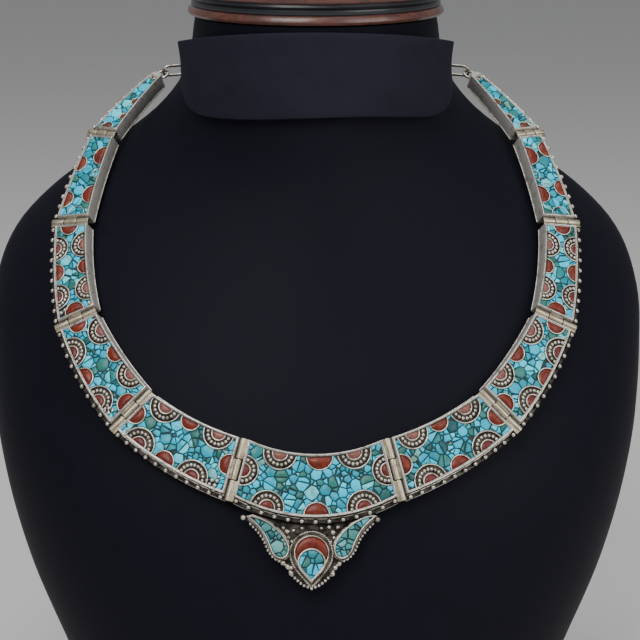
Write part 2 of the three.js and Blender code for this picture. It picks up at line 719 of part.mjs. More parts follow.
function plaquePieces(index, tag) {
  const group = new THREE.Group();
  const isLeft = tag.startsWith('l');
  group.add(meshOf(`case_${tag}`, toGeometry(caseSolid(index, isLeft)), SILVER));
  group.add(meshOf(`inlay_${tag}`, toGeometry(inlaySolid(index, isLeft)), TURQUOISE));
  motifsOf(index, isLeft).filter((motif) => motif.kind === 'coral').forEach((motif) => {
    group.add(meshOf(`coral_${tag}_${motif.edge}`, coralGeometry(PLAQUES[index], motif), CORAL));
  });
  return group;
}

function centreGroup() {
  const group = plaquePieces(0, 'centre');
  group.position.set(-PLAQUES[0].length / 2, HINGE_RISE, 0);
  return group;
}

function pendantGroup() {
  const group = new THREE.Group();
  const floor = PLATE_FRONT + FIT;
  const top = COLLET_TOP + 0.3;
  const wing = toSolid(slab(wingShape(-FIT), floor, top));
  const drop = slab(smallDrop(COLLET_WALL + FIT), floor, top);
  group.add(meshOf('pendant_setting', toGeometry(pendantSetting()), SILVER));
  group.add(meshOf('pendant_coral', toGeometry(crescentSolid()), CORAL));
  group.add(meshOf('pendant_drop', drop, TURQUOISE));
  group.add(meshOf('pendant_wing_r', toGeometry(wing), TURQUOISE));
  group.add(meshOf('pendant_wing_l', toGeometry(mirrored(wing)), TURQUOISE));
  group.position.x = PENDANT_SHIFT;
  return group;
}

// The side plaques hang one on the next, each folded about its hinge and turned in its own plane.
function sidePlaques(letter) {
  const root = new THREE.Group();
  let hinge = new THREE.Group();
  hinge.position.set(PLAQUES[0].length / 2, HINGE_RISE, 0);
  hinge.rotation.z = radians(PLAQUES[0].turn / 2);
  root.add(hinge);
  for (let index = 1; index < PLAQUES.length; index += 1) {
    const plaque = PLAQUES[index];
    const folded = new THREE.Group();
    folded.rotation.y = radians(plaque.fold);
    const pieces = plaquePieces(index, `${letter}${index}`);
    pieces.rotation.z = radians(plaque.turn / 2);
    folded.add(pieces);
    hinge.add(folded);
    hinge = new THREE.Group();
    hinge.position.x = plaque.length;
    hinge.rotation.z = radians(plaque.turn / 2);
    pieces.add(hinge);
  }
  return root;
}

function leanMatrix() {
  const lean = radians(CENTRE_LEAN);
  const right = new THREE.Vector3(1, 0, 0);
  const up = new THREE.Vector3(0, Math.sin(lean), Math.cos(lean));
  const out = new THREE.Vector3().crossVectors(right, up);
  return new THREE.Matrix4().makeBasis(right, up, out);
}

// The far side of the last plaque's eye, in the bust's frame.
function eyeBar(leaning) {
  leaning.updateMatrixWorld(true);
  const last = leaning.getObjectByName(`case_r${PLAQUES.length - 1}`);
  const matrix = last.matrixWorld.clone().multiply(eyeMatrix());
  const bar = new THREE.Vector3(EYE_RADIUS, 0, 0).applyMatrix4(matrix);
  const normal = new THREE.Vector3().setFromMatrixColumn(matrix, 2).normalize();
  return { bar, normal };
}

function buildNecklace() {
  const necklace = new THREE.Group();
  const leaning = new THREE.Group();
  leaning.applyMatrix4(leanMatrix());
  leaning.add(centreGroup());
  leaning.add(pendantGroup());
  leaning.add(sidePlaques('r'));
  const left = new THREE.Group();
  left.scale.x = -1;
  left.add(sidePlaques('l'));
  leaning.add(left);
  necklace.add(leaning);
  const { bar, normal } = eyeBar(leaning);
  SIDE_LETTERS.forEach((letter) => {
    const chain = meshOf(`chain_${letter}`, chainGeometry(bar, normal), SILVER);
    chain.scale.x = letter === 'l' ? -1 : 1;
    necklace.add(chain);
  });
  const hook = wireLink(HOOK_LENGTH, HOOK_WIDTH, HOOK_WIRE);
  const centre = hookCentre();
  hook.rotateX(LINKS_PER_SIDE % 2 === 0 ? Math.PI / 2 : 0).translate(0, centre.y, centre.z);
  necklace.add(meshOf('hook_clasp', hook, SILVER));
  return necklace;
}

function buildBust() {
  const bust = new THREE.Group();
  bust.add(meshOf('bust_body', bustGeometry(), LEATHERETTE));
  bust.add(meshOf('neck_flap', flapGeometry(), LEATHERETTE));
  bust.add(meshOf('neck_cap', capGeometry(), WOOD));
  return bust;
}

const whole = new THREE.Group();
whole.add(buildNecklace());
whole.add(buildBust());
whole.position.set(0, CENTRE_DEPTH, CENTRE_HEIGHT);

export default whole;
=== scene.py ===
"""A bib necklace of inlaid silver box plaques on its padded neck bust, dressed around the fixed frame."""

import logging
import math
import random
from contextlib import contextmanager
from dataclasses import dataclass, field
from enum import Enum
from functools import partial
from typing import Callable, Iterator, Sequence

import bpy
import numpy as np
from mathutils import Matrix, Vector


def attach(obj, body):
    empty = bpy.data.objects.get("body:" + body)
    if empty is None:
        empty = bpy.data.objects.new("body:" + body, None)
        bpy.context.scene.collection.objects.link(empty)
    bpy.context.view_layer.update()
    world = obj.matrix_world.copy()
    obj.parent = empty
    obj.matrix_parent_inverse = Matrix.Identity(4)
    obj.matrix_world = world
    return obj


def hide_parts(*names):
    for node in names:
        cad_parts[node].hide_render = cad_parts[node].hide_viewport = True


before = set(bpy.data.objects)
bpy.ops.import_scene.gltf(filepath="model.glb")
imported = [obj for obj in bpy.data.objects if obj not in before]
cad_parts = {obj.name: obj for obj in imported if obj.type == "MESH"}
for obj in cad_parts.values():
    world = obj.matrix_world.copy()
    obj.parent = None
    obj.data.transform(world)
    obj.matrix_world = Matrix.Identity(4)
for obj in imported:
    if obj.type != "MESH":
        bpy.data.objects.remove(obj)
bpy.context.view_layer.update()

LOG = logging.getLogger("necklace")
ROOT = "root"
MM = 0.001
Colour = tuple[float, float, float]
Stops = tuple[tuple[float, Colour], ...]
Spots = tuple[tuple[float, float], ...]
Placing = Callable[[float, float], Sequence[float]]

# The distance that closes a seam, and the one that sets each copy's scratches apart, in millimetres
SEAM_GAP = 0.0005
OWN_STEP = 7.0

# Where the centre plaque's face lies on the bust, in millimetres
CENTRE_HEIGHT = 118.0
CENTRE_DEPTH = -63.7
CENTRE_LEAN = 25.0
HINGE_RISE = 5.5

# Box plaques, in millimetres
CASE_DEPTH = 5.5
RECESS_DEPTH = 1.6
WALL = 0.8
FIT = 0.3
TIP_ROUND = 2.2
LEDGE_WIDTH = 1.9
LEDGE_DROP = 2.2
HINGE_ROOM = 1.7
HINGE_SINK = 1.5
KNUCKLE_RADIUS = 1.2
BARRELS = 3
CORE_SHARE = 0.44

# Pendant, in millimetres from its own axis in the centre plaque's plane
PENDANT_SHIFT = -1.3
PLATE_BACK = -5.4
PLATE_FRONT = -4.3
COLLET_TOP = -1.8

# Chain and clasp, in millimetres
EYE_RADIUS = 2.0
EYE_OFFSET = -0.5
EYE_BITE = 0.4
WIRE_RADIUS = 0.55
LINK_WIDTH = 5.2
LINK_OVERLAP = 0.3
LINKS_PER_SIDE = 8
CHAIN_CLEARANCE = 3.1
CHAIN_RISE = 123.0
HOOK_LENGTH = 12.0
HOOK_WIDTH = 6.4
HOOK_WIRE = 0.7


class Shade:
    """One output of a node tree; arithmetic on it adds Math nodes."""

    def __init__(self, sheet: "NodeSheet", socket: bpy.types.NodeSocket) -> None:
        """Keeps the socket.

        Args:
            sheet: the node tree's own sheet.
            socket: the output that is wrapped.
        """
        self.sheet = sheet
        self.socket = socket

    def maths(self, operation: str, first: "Shade | float", second: "Shade | float" = 0.0) -> "Shade":
        """Adds one Math node.

        Args:
            operation: the node's operation.
            first: its first value.
            second: its second value.

        Returns:
            The result.
        """
        return self.sheet.add("ShaderNodeMath", {"operation": operation}, {0: first, 1: second})

    def __add__(self, other: "Shade | float") -> "Shade":
        """Sum."""
        return self.maths("ADD", self, other)

    def __radd__(self, other: float) -> "Shade":
        """Sum with the number first."""
        return self.maths("ADD", other, self)

    def __sub__(self, other: "Shade | float") -> "Shade":
        """Difference."""
        return self.maths("SUBTRACT", self, other)

    def __rsub__(self, other: float) -> "Shade":
        """Difference with the number first."""
        return self.maths("SUBTRACT", other, self)

    def __mul__(self, other: "Shade | float") -> "Shade":
        """Product."""
        return self.maths("MULTIPLY", self, other)

    def __rmul__(self, other: float) -> "Shade":
        """Product with the number first."""
        return self.maths("MULTIPLY", other, self)

    def above(self, edge: float, softness: float) -> "Shade":
        """A mask that rises from 0 to 1 around an edge.

        Args:
            edge: the value in the middle of the rise.
            softness: half the width of the rise.

        Returns:
            The mask.
        """
        settings = {"interpolation_type": "SMOOTHSTEP"}
        limits = {"Value": self, "From Min": edge - softness, "From Max": edge + softness}
        return self.sheet.add("ShaderNodeMapRange", settings, limits)


class NodeSheet:
    """A material's node tree, with one method for every node that it needs."""

    def __init__(self, name: str) -> None:
        """Starts a material.

        Args:
            name: the material's name.
        """
        self.material = bpy.data.materials.new(name)
        self.material.use_nodes = True
        self.tree = self.material.node_tree
        self.surface = self.tree.nodes["Principled BSDF"]

    def add(
        self, kind: str, settings: dict | None = None, inputs: dict | None = None, output: int | str = 0,
    ) -> Shade:
        """Adds any node.

        Args:
            kind: the node's type.
            settings: its own settings, with "stops" for a ramp.
            inputs: values or shades by the socket's name or number.
            output: the output that is handed back.

        Returns:
            That output.
        """
        node = self.tree.nodes.new(kind)
        for key, value in (settings or {}).items():
            if key == "stops":
                self._set_stops(node.color_ramp, value)
            else:
                setattr(node, key, value)
        for key, value in (inputs or {}).items():
            if isinstance(value, Shade):
                self.tree.links.new(value.socket, node.inputs[key])
            else:
                node.inputs[key].default_value = value
        return Shade(self, node.outputs[output])

    @staticmethod
    def _set_stops(ramp: bpy.types.ColorRamp, stops: Stops) -> None:
        """Puts the stops on a colour ramp.

        Args:
            ramp: the ramp.
            stops: places and colours, in order.
        """
        while len(ramp.elements) < len(stops):
            ramp.elements.new(1.0)
        for element, (place, colour) in zip(ramp.elements, stops):
            element.position = place
            element.color = (*colour, 1.0)

    def place(self) -> Shade:
        """Object coordinates, in metres."""
        return self.add("ShaderNodeTexCoord", output="Object")

    def noise(self, place: Shade, scale: float, detail: float = 3.0, twist: float = 0.0) -> Shade:
        """Noise from 0 to 1.

        Args:
            place: the coordinates.
            scale: waves in a metre.
            detail: octaves.
            twist: distortion.

        Returns:
            The noise.
        """
        inputs = {"Vector": place, "Scale": scale, "Detail": detail, "Distortion": twist}
        return self.add("ShaderNodeTexNoise", inputs=inputs)

    def mix(self, share: "Shade | float", first: "Shade | Colour", second: "Shade | Colour") -> Shade:
        """Mixes two colours.

        Args:
            share: 0 for the first, 1 for the second.
            first: colour or shade.
            second: colour or shade.

        Returns:
            The mixed colour.
        """
        pair = [value if isinstance(value, Shade) else (*value, 1.0) for value in (first, second)]
        return self.add("ShaderNodeMix", {"data_type": "RGBA"}, {0: share, 6: pair[0], 7: pair[1]}, 2)

    def size_of(self, value: Shade) -> Shade:
        """A value without its sign."""
        return value.maths("ABSOLUTE", value)

    def bump(self, height: Shade, depth: float, strength: float = 1.0) -> Shade:
        """A bumped normal.

        Args:
            height: the relief from 0 to 1.
            depth: its depth in metres.
            strength: how much of it shows.

        Returns:
            The normal.
        """
        return self.add("ShaderNodeBump", inputs={"Height": height, "Distance": depth, "Strength": strength})

    def dress(self, **values: "Shade | float | tuple") -> bpy.types.Material:
        """Sets the surface's sockets.

        Args:
            values: shades or numbers by the socket's name, with _ for a space.

        Returns:
            The finished material.
        """
        for key, value in values.items():
            socket = self.surface.inputs[key.replace("_", " ")]
            if isinstance(value, Shade):
                self.tree.links.new(value.socket, socket)
            else:
                socket.default_value = (*value, 1.0) if isinstance(value, tuple) else value
        return self.material


class Finish:
    """A finish, whose material is built at its first use."""

    name: str

    def material(self) -> bpy.types.Material:
        """The finish's own material."""
        return bpy.data.materials.get(self.name) or self.dressed(NodeSheet(self.name))

    def dressed(self, sheet: NodeSheet) -> bpy.types.Material:
        """Builds the material on its own sheet.

        Args:
            sheet: the material's node tree.

        Returns:
            The material.
        """
        raise NotImplementedError


@dataclass(frozen=True)
class AntiqueMetal(Finish):
    """Worn metal with darker patina in patches."""

    name: str
    bright: Colour
    patina: Colour
    patina_share: float
    roughness: float
    metallic: float = 1.0

    def dressed(self, sheet: NodeSheet) -> bpy.types.Material:
        """Builds the material on its own sheet.

        Args:
            sheet: the material's node tree.

        Returns:
            The material.
        """
        place = sheet.place()
        patches = sheet.noise(place, 420.0, 5.0, 0.6).above(1.0 - self.patina_share, 0.16)
        grain = sheet.noise(place, 2600.0, 4.0)
        scuffs = sheet.noise(place, 1200.0, 2.0)
        tint = sheet.mix(scuffs * 0.35, self.bright, tuple(0.72 * value for value in self.bright))
        colour = sheet.mix(patches, tint, self.patina)
        return sheet.dress(
            Base_Color=colour,
            Metallic=self.metallic,
            Roughness=self.roughness + 0.22 * patches + 0.12 * grain,
            Normal=sheet.bump(grain * 0.5 + scuffs * 0.5, 0.00006, 0.6),
        )


@dataclass(frozen=True)
class BrushedMetal(Finish):
    """Yellowish metal with fine scratches along each barrel and leaf."""

    name: str
    bright: Colour
    dark: Colour
    roughness: float

    def dressed(self, sheet: NodeSheet) -> bpy.types.Material:
        """Builds the material on its own sheet.

        Args:
            sheet: the material's node tree.

        Returns:
            The material.
        """
        own = sheet.add("ShaderNodeAttribute", {"attribute_name": "own_place"}, output="Vector")
        along = sheet.add("ShaderNodeMapping", inputs={"Vector": own, "Scale": (1.0, 0.07, 1.0)})
        scratches = sheet.noise(along, 5200.0, 4.0)
        soil = sheet.noise(sheet.place(), 260.0, 4.0, 0.5).above(0.6, 0.14)
        tint = sheet.mix(scratches.above(0.5, 0.2), self.dark, self.bright)
        return sheet.dress(
            Base_Color=sheet.mix(soil * 0.6, tint, self.dark),
            Metallic=1.0,
            Roughness=self.roughness + 0.15 * scratches + 0.12 * soil,
            Normal=sheet.bump(scratches, 0.00008, 0.5),
        )


BLUE_STOPS: Stops = (
    (0.0, (0.006, 0.07, 0.09)),
    (0.12, (0.035, 0.17, 0.13)),
    (0.25, (0.006, 0.22, 0.28)),
    (0.42, (0.005, 0.33, 0.45)),
    (0.62, (0.003, 0.47, 0.67)),
    (0.8, (0.012, 0.60, 0.83)),
    (0.93, (0.11, 0.76, 0.89)),
    (1.0, (0.15, 0.28, 0.21)),
)
GREEN_STOPS: Stops = (
    (0.0, (0.012, 0.09, 0.10)),
    (0.3, (0.05, 0.22, 0.20)),
    (0.55, (0.05, 0.29, 0.33)),
    (0.8, (0.09, 0.38, 0.42)),
    (1.0, (0.20, 0.38, 0.30)),
)


@dataclass(frozen=True)
class TurquoiseChips(Finish):
    """Polished chips, each of its own shade, mottled with dark matrix."""

    name: str
    stops: Stops

    def dressed(self, sheet: NodeSheet) -> bpy.types.Material:
        """Builds the material on its own sheet.

        Args:
            sheet: the material's node tree.

        Returns:
            The material.
        """
        place = sheet.place()
        shade = sheet.add("ShaderNodeAttribute", {"attribute_name": "chip_shade"}, output="Fac")
        cloud = sheet.noise(place, 620.0, 4.0, 0.4)
        clouded = shade + (cloud - 0.5) * 0.2
        base = sheet.add("ShaderNodeValToRGB", {"stops": self.stops}, {0: clouded})
        veins = sheet.noise(place, 900.0, 6.0, 1.6)
        line = 1.0 - sheet.size_of(veins - 0.5).above(0.012, 0.012)
        spots = sheet.noise(place, 330.0, 5.0).above(0.62, 0.05)
        mottled = sheet.mix(spots * 0.3, base, (0.05, 0.16, 0.13))
        colour = sheet.mix(line * spots * 0.8, mottled, (0.04, 0.035, 0.02))
        return sheet.dress(
            Base_Color=colour,
            Roughness=0.24 + 0.25 * cloud,
            Specular_IOR_Level=0.3,
            Normal=sheet.bump(cloud, 0.00012, 0.5),
        )


@dataclass(frozen=True)
class Coral(Finish):
    """Polished red stone with darker clouds."""

    name: str
    light: Colour
    dark: Colour

    def dressed(self, sheet: NodeSheet) -> bpy.types.Material:
        """Builds the material on its own sheet.

        Args:
            sheet: the material's node tree.

        Returns:
            The material.
        """
        place = sheet.place()
        clouds = sheet.noise(place, 480.0, 5.0, 0.8)
        pits = sheet.noise(place, 2400.0, 2.0).above(0.68, 0.05)
        colour = sheet.mix(clouds.above(0.5, 0.22), self.light, self.dark)
        return sheet.dress(
            Base_Color=sheet.mix(pits * 0.5, colour, (0.05, 0.01, 0.008)),
            Roughness=0.3 + 0.2 * clouds,
            Specular_IOR_Level=0.3,
            Coat_Weight=0.08,
            Coat_Roughness=0.15,
            Normal=sheet.bump(clouds, 0.0001, 0.4),
        )


@dataclass(frozen=True)
class Cement(Finish):
    """Dark matt filling between the chips."""

    name: str = "dark_cement"

    def dressed(self, sheet: NodeSheet) -> bpy.types.Material:
        """Builds the material on its own sheet.

        Args:
            sheet: the material's node tree.

        Returns:
            The material.
        """
        place = sheet.place()
        grit = sheet.noise(place, 1500.0, 5.0)
        colour = sheet.mix(grit.above(0.55, 0.2), (0.003, 0.014, 0.017), (0.008, 0.042, 0.048))
        return sheet.dress(
            Base_Color=colour,
            Roughness=0.55 + 0.2 * grit,
            Normal=sheet.bump(grit, 0.0002, 0.8),
        )


@dataclass(frozen=True)
class Leatherette(Finish):
    """Near-black covering with a fine pressed grain."""

    name: str
    # The two tones that the dust noise mixes; the flap's copy has both painted lighter, as painted light
    deep: Colour
    worn: Colour

    def dressed(self, sheet: NodeSheet) -> bpy.types.Material:
        """Builds the material on its own sheet.

        Args:
            sheet: the material's node tree.

        Returns:
            The material.
        """
        place = sheet.place()
        inputs = {"Vector": place, "Scale": 1100.0}
        cells = sheet.add("ShaderNodeTexVoronoi", {"feature": "SMOOTH_F1"}, inputs)
        dust = sheet.noise(place, 160.0, 4.0)
        fine = sheet.noise(place, 3200.0, 2.0)
        colour = sheet.mix(dust, self.deep, self.worn)
        return sheet.dress(
            Base_Color=colour,
            Roughness=0.56 + 0.12 * dust,
            Specular_IOR_Level=0.1,
            Normal=sheet.bump(cells * 0.7 + fine * 0.3, 0.00008, 0.45),
        )


@dataclass(frozen=True)
class Wood(Finish):
    """Turned and varnished red-brown wood, with shade painted near-black into the turned recess between two
    heights.
    """

    name: str = "varnished_wood"
    # Heights in metres of the turned recess where shade is painted in
    groove_shade: tuple[float, float] = (0.2667, 0.2707)

    def dressed(self, sheet: NodeSheet) -> bpy.types.Material:
        """Builds the material on its own sheet.

        Args:
            sheet: the material's node tree.

        Returns:
            The material.
        """
        place = sheet.place()
        stretched = sheet.add("ShaderNodeMapping", inputs={"Vector": place, "Scale": (1.0, 7.0, 7.0)})
        grain = sheet.noise(stretched, 60.0, 6.0, 1.2)
        pores = sheet.noise(stretched, 420.0, 3.0).above(0.6, 0.06)
        colour = sheet.mix(grain.above(0.5, 0.2), (0.115, 0.034, 0.020), (0.05, 0.015, 0.010))
        worn = sheet.mix(pores * 0.5, colour, (0.015, 0.005, 0.003))
        height = sheet.add("ShaderNodeSeparateXYZ", inputs={"Vector": place}, output="Z")
        # Painted shade: the colour goes near-black inside the turned recess, standing in for its shadow
        groove_shade = height.above(self.groove_shade[0], 0.0002) * (1.0 - height.above(self.groove_shade[1], 0.0002))
        return sheet.dress(
            Base_Color=sheet.mix(groove_shade, worn, (0.004, 0.005, 0.008)),
            Roughness=0.3 + 0.15 * grain,
            Coat_Weight=0.3,
            Coat_Roughness=0.15,
            Normal=sheet.bump(grain, 0.0001, 0.4),
        )


SILVER = AntiqueMetal("bright_silver", (0.62, 0.58, 0.51), (0.17, 0.145, 0.115), 0.38, 0.24)
SILVER_WALL = AntiqueMetal("plain_silver", (0.46, 0.45, 0.42), (0.15, 0.14, 0.125), 0.34, 0.38, 0.5)
COLLET = AntiqueMetal("collet_silver", (0.40, 0.36, 0.29), (0.10, 0.08, 0.06), 0.52, 0.34, 0.85)
GROUND = AntiqueMetal("medallion_ground", (0.15, 0.125, 0.10), (0.045, 0.035, 0.028), 0.5, 0.5, 0.6)
OXIDE = AntiqueMetal("oxidised_silver", (0.075, 0.064, 0.056), (0.018, 0.015, 0.013), 0.5, 0.42, 0.7)
BRASS = BrushedMetal("hinge_metal", (0.66, 0.60, 0.45), (0.28, 0.23, 0.16), 0.3)
BRASS_DARK = BrushedMetal("hinge_metal_dark", (0.44, 0.38, 0.27), (0.15, 0.115, 0.08), 0.36)
CORAL_RED = Coral("coral_red", (0.185, 0.022, 0.006), (0.085, 0.010, 0.005))
CORAL_DARK = Coral("coral_dark", (0.16, 0.020, 0.013), (0.07, 0.009, 0.007))
CORAL_PINK = Coral("coral_pink", (0.25, 0.105, 0.085), (0.16, 0.05, 0.04))
CORAL_BROWN = Coral("coral_brown", (0.15, 0.043, 0.025), (0.07, 0.02, 0.012))
TURQUOISE = TurquoiseChips("turquoise_chips", BLUE_STOPS)
TURQUOISE_MUTED = TurquoiseChips("muted_turquoise", GREEN_STOPS)
CEMENT = Cement()
LEATHERETTE = Leatherette("pressed_leatherette", (0.0026, 0.0026, 0.0062), (0.0050, 0.0050, 0.0102))
# Painted light: the flap is the body's leatherette, with both its tones painted lighter where it catches the
# light
FLAP_LEATHERETTE_PAINTED_LIGHT = Leatherette("flap_leatherette_painted_light", (0.0085, 0.0085, 0.0155), (0.0150, 0.0150, 0.0245))
WOOD = Wood()


# Modelling helpers


def clear_selection() -> None:
    """Leaves edit mode and deselects everything."""
    if bpy.context.object and bpy.context.object.mode != "OBJECT":
        bpy.ops.object.mode_set(mode="OBJECT")
    bpy.ops.object.select_all(action="DESELECT")


def pick(*pieces: bpy.types.Object) -> None:
    """Selects these pieces alone and makes the first one active."""
    clear_selection()
    for piece in pieces:
        piece.select_set(True)
    bpy.context.view_layer.objects.active = pieces[0]


def primitive(kind: str, **sizes: object) -> bpy.types.Object:
    """Adds one of Blender's primitives.

    Args:
        kind: the operator's name after primitive_ and before _add.
        sizes: its settings.

    Returns:
        The new object.
    """
    clear_selection()
    getattr(bpy.ops.mesh, f"primitive_{kind}_add")(**sizes)
    return bpy.context.object


@contextmanager
def editing(piece: bpy.types.Object, mode: str = "FACE") -> Iterator[None]:
    """Edit mode on one object, with everything selected at the start.

    Args:
        piece: the object.
        mode: what is selected.

    Yields:
        Nothing.
    """
    pick(piece)
    bpy.ops.object.mode_set(mode="EDIT")
    bpy.ops.mesh.select_mode(type=mode)
    bpy.ops.mesh.select_all(action="SELECT")
    yield
    bpy.ops.object.mode_set(mode="OBJECT")


def mapped_grid(columns: int, rows: int, place: Placing) -> bpy.types.Object:
    """Adds a grid and puts each of its points in place.

    Args:
        columns: its faces along.
        rows: its faces across.
        place: gives a point from its shares along and across, each from 0 to 1.

    Returns:
        The grid.
    """
    piece = primitive("grid", x_subdivisions=columns, y_subdivisions=rows, size=1.0)
    for vertex in piece.data.vertices:
        vertex.co = place(vertex.co.x + 0.5, vertex.co.y + 0.5)
    return piece


def face_outwards() -> None:
    """Turns all faces of the mesh that is being edited outwards."""
    bpy.ops.mesh.select_all(action="SELECT")
    bpy.ops.mesh.normals_make_consistent(inside=False)


def close_up(gap: float) -> None:
    """Merges the seam of the mesh that is being edited, and fills its open ends.

    Args:
        gap: the distance within which points merge.
    """
    bpy.ops.mesh.remove_doubles(threshold=gap)
    bpy.ops.mesh.fill_holes(sides=0)
    face_outwards()


def raise_region(height: float) -> None:
    """Extrudes the selected faces straight up or down.

    Args:
        height: how far, below 0 for down.
    """
    bpy.ops.mesh.extrude_region_move(TRANSFORM_OT_translate={"value": (0.0, 0.0, height)})


def soften_edges(width: float, angle: float = 40.0) -> None:
    """Bevels the sharp edges of the mesh that is being edited.

    Args:
        width: the bevel's width.
        angle: the least angle that counts as sharp.
    """
    bpy.ops.mesh.select_mode(type="EDGE")
    bpy.ops.mesh.select_all(action="DESELECT")
    bpy.ops.mesh.edges_select_sharp(sharpness=math.radians(angle))
    bpy.ops.mesh.bevel(offset=width, segments=2, clamp_overlap=True)


def paint(piece: bpy.types.Object, *finishes: object) -> bpy.types.Object:
    """Gives a piece its materials, the first one on every face.

    Args:
        piece: the object.
        finishes: the finishes.

    Returns:
        The same object.
    """
    piece.data.materials.clear()
    for finish in finishes:
        piece.data.materials.append(finish.material())
    return piece


def smooth(piece: bpy.types.Object, angle: float = 35.0) -> bpy.types.Object:
    """Shades a piece smooth, apart from its sharp edges.

    Args:
        piece: the object.
        angle: the least angle that stays sharp.

    Returns:
        The same object.
    """
    pick(piece)
    bpy.ops.object.shade_smooth_by_angle(angle=math.radians(angle))
    return piece


def merged(pieces: list[bpy.types.Object], name: str) -> bpy.types.Object:
    """Joins pieces into the first one.

    Args:
        pieces: the objects.
        name: the joined object's name.

    Returns:
        The joined object.
    """
    pick(*pieces)
    if len(pieces) > 1:
        bpy.ops.object.join()
    pieces[0].name = name
    return pieces[0]


def put(piece: bpy.types.Object, matrix: Matrix) -> bpy.types.Object:
    """Moves a piece's mesh by a matrix and leaves its object at the origin.

    Args:
        piece: the object.
        matrix: from the piece's millimetres to the frame's metres.

    Returns:
        The same object.
    """
    piece.data.transform(matrix @ piece.matrix_world)
    piece.matrix_world = Matrix.Identity(4)
    if matrix.determinant() < 0:
        piece.data.flip_normals()
    piece.data.update()
    return piece


def register(piece: bpy.types.Object, slot: str, *nodes: str) -> None:
    """Attaches a finished piece to the root body and hides the solids that it stands for.

    Args:
        piece: the object.
        slot: not used.
        nodes: the solids that it stands for.
    """
    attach(piece, ROOT)
    if nodes:
        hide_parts(*nodes)


def mesh_object(name: str, verts: np.ndarray, loops: np.ndarray, counts: np.ndarray) -> bpy.types.Object:
    """Makes an object from arrays.

    Args:
        name: its name.
        verts: points, one row each.
        loops: the corners of all faces, one after another.
        counts: how many corners each face has.

    Returns:
        The object.
    """
    mesh = bpy.data.meshes.new(name)
    mesh.vertices.add(len(verts))
    mesh.vertices.foreach_set("co", np.asarray(verts, dtype=np.float32).ravel())
    mesh.loops.add(len(loops))
    mesh.loops.foreach_set("vertex_index", np.asarray(loops, dtype=np.int32))
    mesh.polygons.add(len(counts))
    starts = np.concatenate([[0], np.cumsum(counts)[:-1]])
    mesh.polygons.foreach_set("loop_start", starts.astype(np.int32))
    mesh.update(calc_edges=True)
    piece = bpy.data.objects.new(name, mesh)
    bpy.context.scene.collection.objects.link(piece)
    return piece


def skin(name: str, rings: list[list[Vector]]) -> bpy.types.Object:
    """A closed skin through rings of as many points each: a grid mapped onto them and closed up.

    Args:
        name: the object's name.
        rings: the rings in order.

    Returns:
        The object.
    """
    around, rows = len(rings[0]), len(rings) - 1
    def place(along: float, up: float) -> Vector:
        """A point of a ring."""
        return rings[round(up * rows)][round(along * around) % around]

    piece = mapped_grid(around, rows, place)
    with editing(piece, "VERT"):
        close_up(SEAM_GAP)
    piece.name = name
    return piece


def twisted(line: list[Vector], radius: float, pitch: float, step: float = 0.16) -> list[list[Vector]]:
    """Two strands wound round a closed flat line.

    Args:
        line: the line's points.
        radius: how far each strand lies from it.
        pitch: the length of one turn.
        step: the distance between a strand's points.

    Returns:
        The points of both strands.
    """
    strands: list[list[Vector]] = [[], []]
    reach = 0.0
    for start, end in zip(line, [*line[1:], line[0]]):
        along = end - start
        side = Vector((along.y, -along.x, 0.0)).normalized()
        count = max(1, round(along.length / step))
        for part in range(count):
            middle = start + along * part / count
            angle = 2 * math.pi * (reach + along.length * part / count) / pitch
            for strand, phase in zip(strands, (0.0, math.pi)):
                out = side * math.cos(angle + phase) + Vector((0, 0, 1)) * math.sin(angle + phase)
                strand.append(middle + out * radius)
        reach += along.length
    return strands


def at_level(points: list[Vector], level: float) -> list[Vector]:
    """The points of a flat outline at a level."""
    return [Vector((point.x, point.y, level)) for point in points]


def bezier(start: tuple, first: tuple, second: tuple, end: tuple, steps: int = 14) -> list[Vector]:
    """A flat Bezier curve without its last point.

    Args:
        start: its start.
        first: its first handle.
        second: its second handle.
        end: its end.
        steps: its parts.

    Returns:
        Its points.
    """
    points = []
    knots = [Vector(knot) for knot in (start, first, second, end)]
    for step in range(steps):
        t = step / steps
        weights = ((1 - t) ** 3, 3 * t * (1 - t) ** 2, 3 * t ** 2 * (1 - t), t ** 3)
        parts = (knot * weight for knot, weight in zip(knots, weights))
        points.append(sum(parts, Vector((0, 0))))
    return points


def grown(points: list[Vector], distance: float) -> list[Vector]:
    """Moves an anticlockwise outline outwards, or inwards for a distance below 0.

    Args:
        points: the outline.
        distance: how far.

    Returns:
        The moved outline.
    """
    moved = []
    for step, point in enumerate(points):
        along = (points[(step + 1) % len(points)] - points[step - 1]).normalized()
        moved.append(point + Vector((along.y, -along.x)) * distance)
    return moved


@dataclass
class Track:
    """A line of points that is walked by distance."""

    points: list[Vector]
    reaches: list[float] = field(init=False)

    def __post_init__(self) -> None:
        """Adds up the distances."""
        self.reaches = [0.0]
        for start, end in zip(self.points, self.points[1:]):
            self.reaches.append(self.reaches[-1] + (end - start).length)

    @property
    def length(self) -> float:
        """The whole distance."""
        return self.reaches[-1]

    def at(self, reach: float) -> tuple[Vector, int]:
        """A place on the line.

        Args:
            reach: its distance from the start.

        Returns:
            The place, and the number of the point that follows it.
        """
        found = next(step for step, value in enumerate(self.reaches) if value >= reach - 1e-6)
        following = max(1, found)
        before = self.reaches[following - 1]
        share = (reach - before) / (self.reaches[following] - before)
        return self.points[following - 1].lerp(self.points[following], share), following


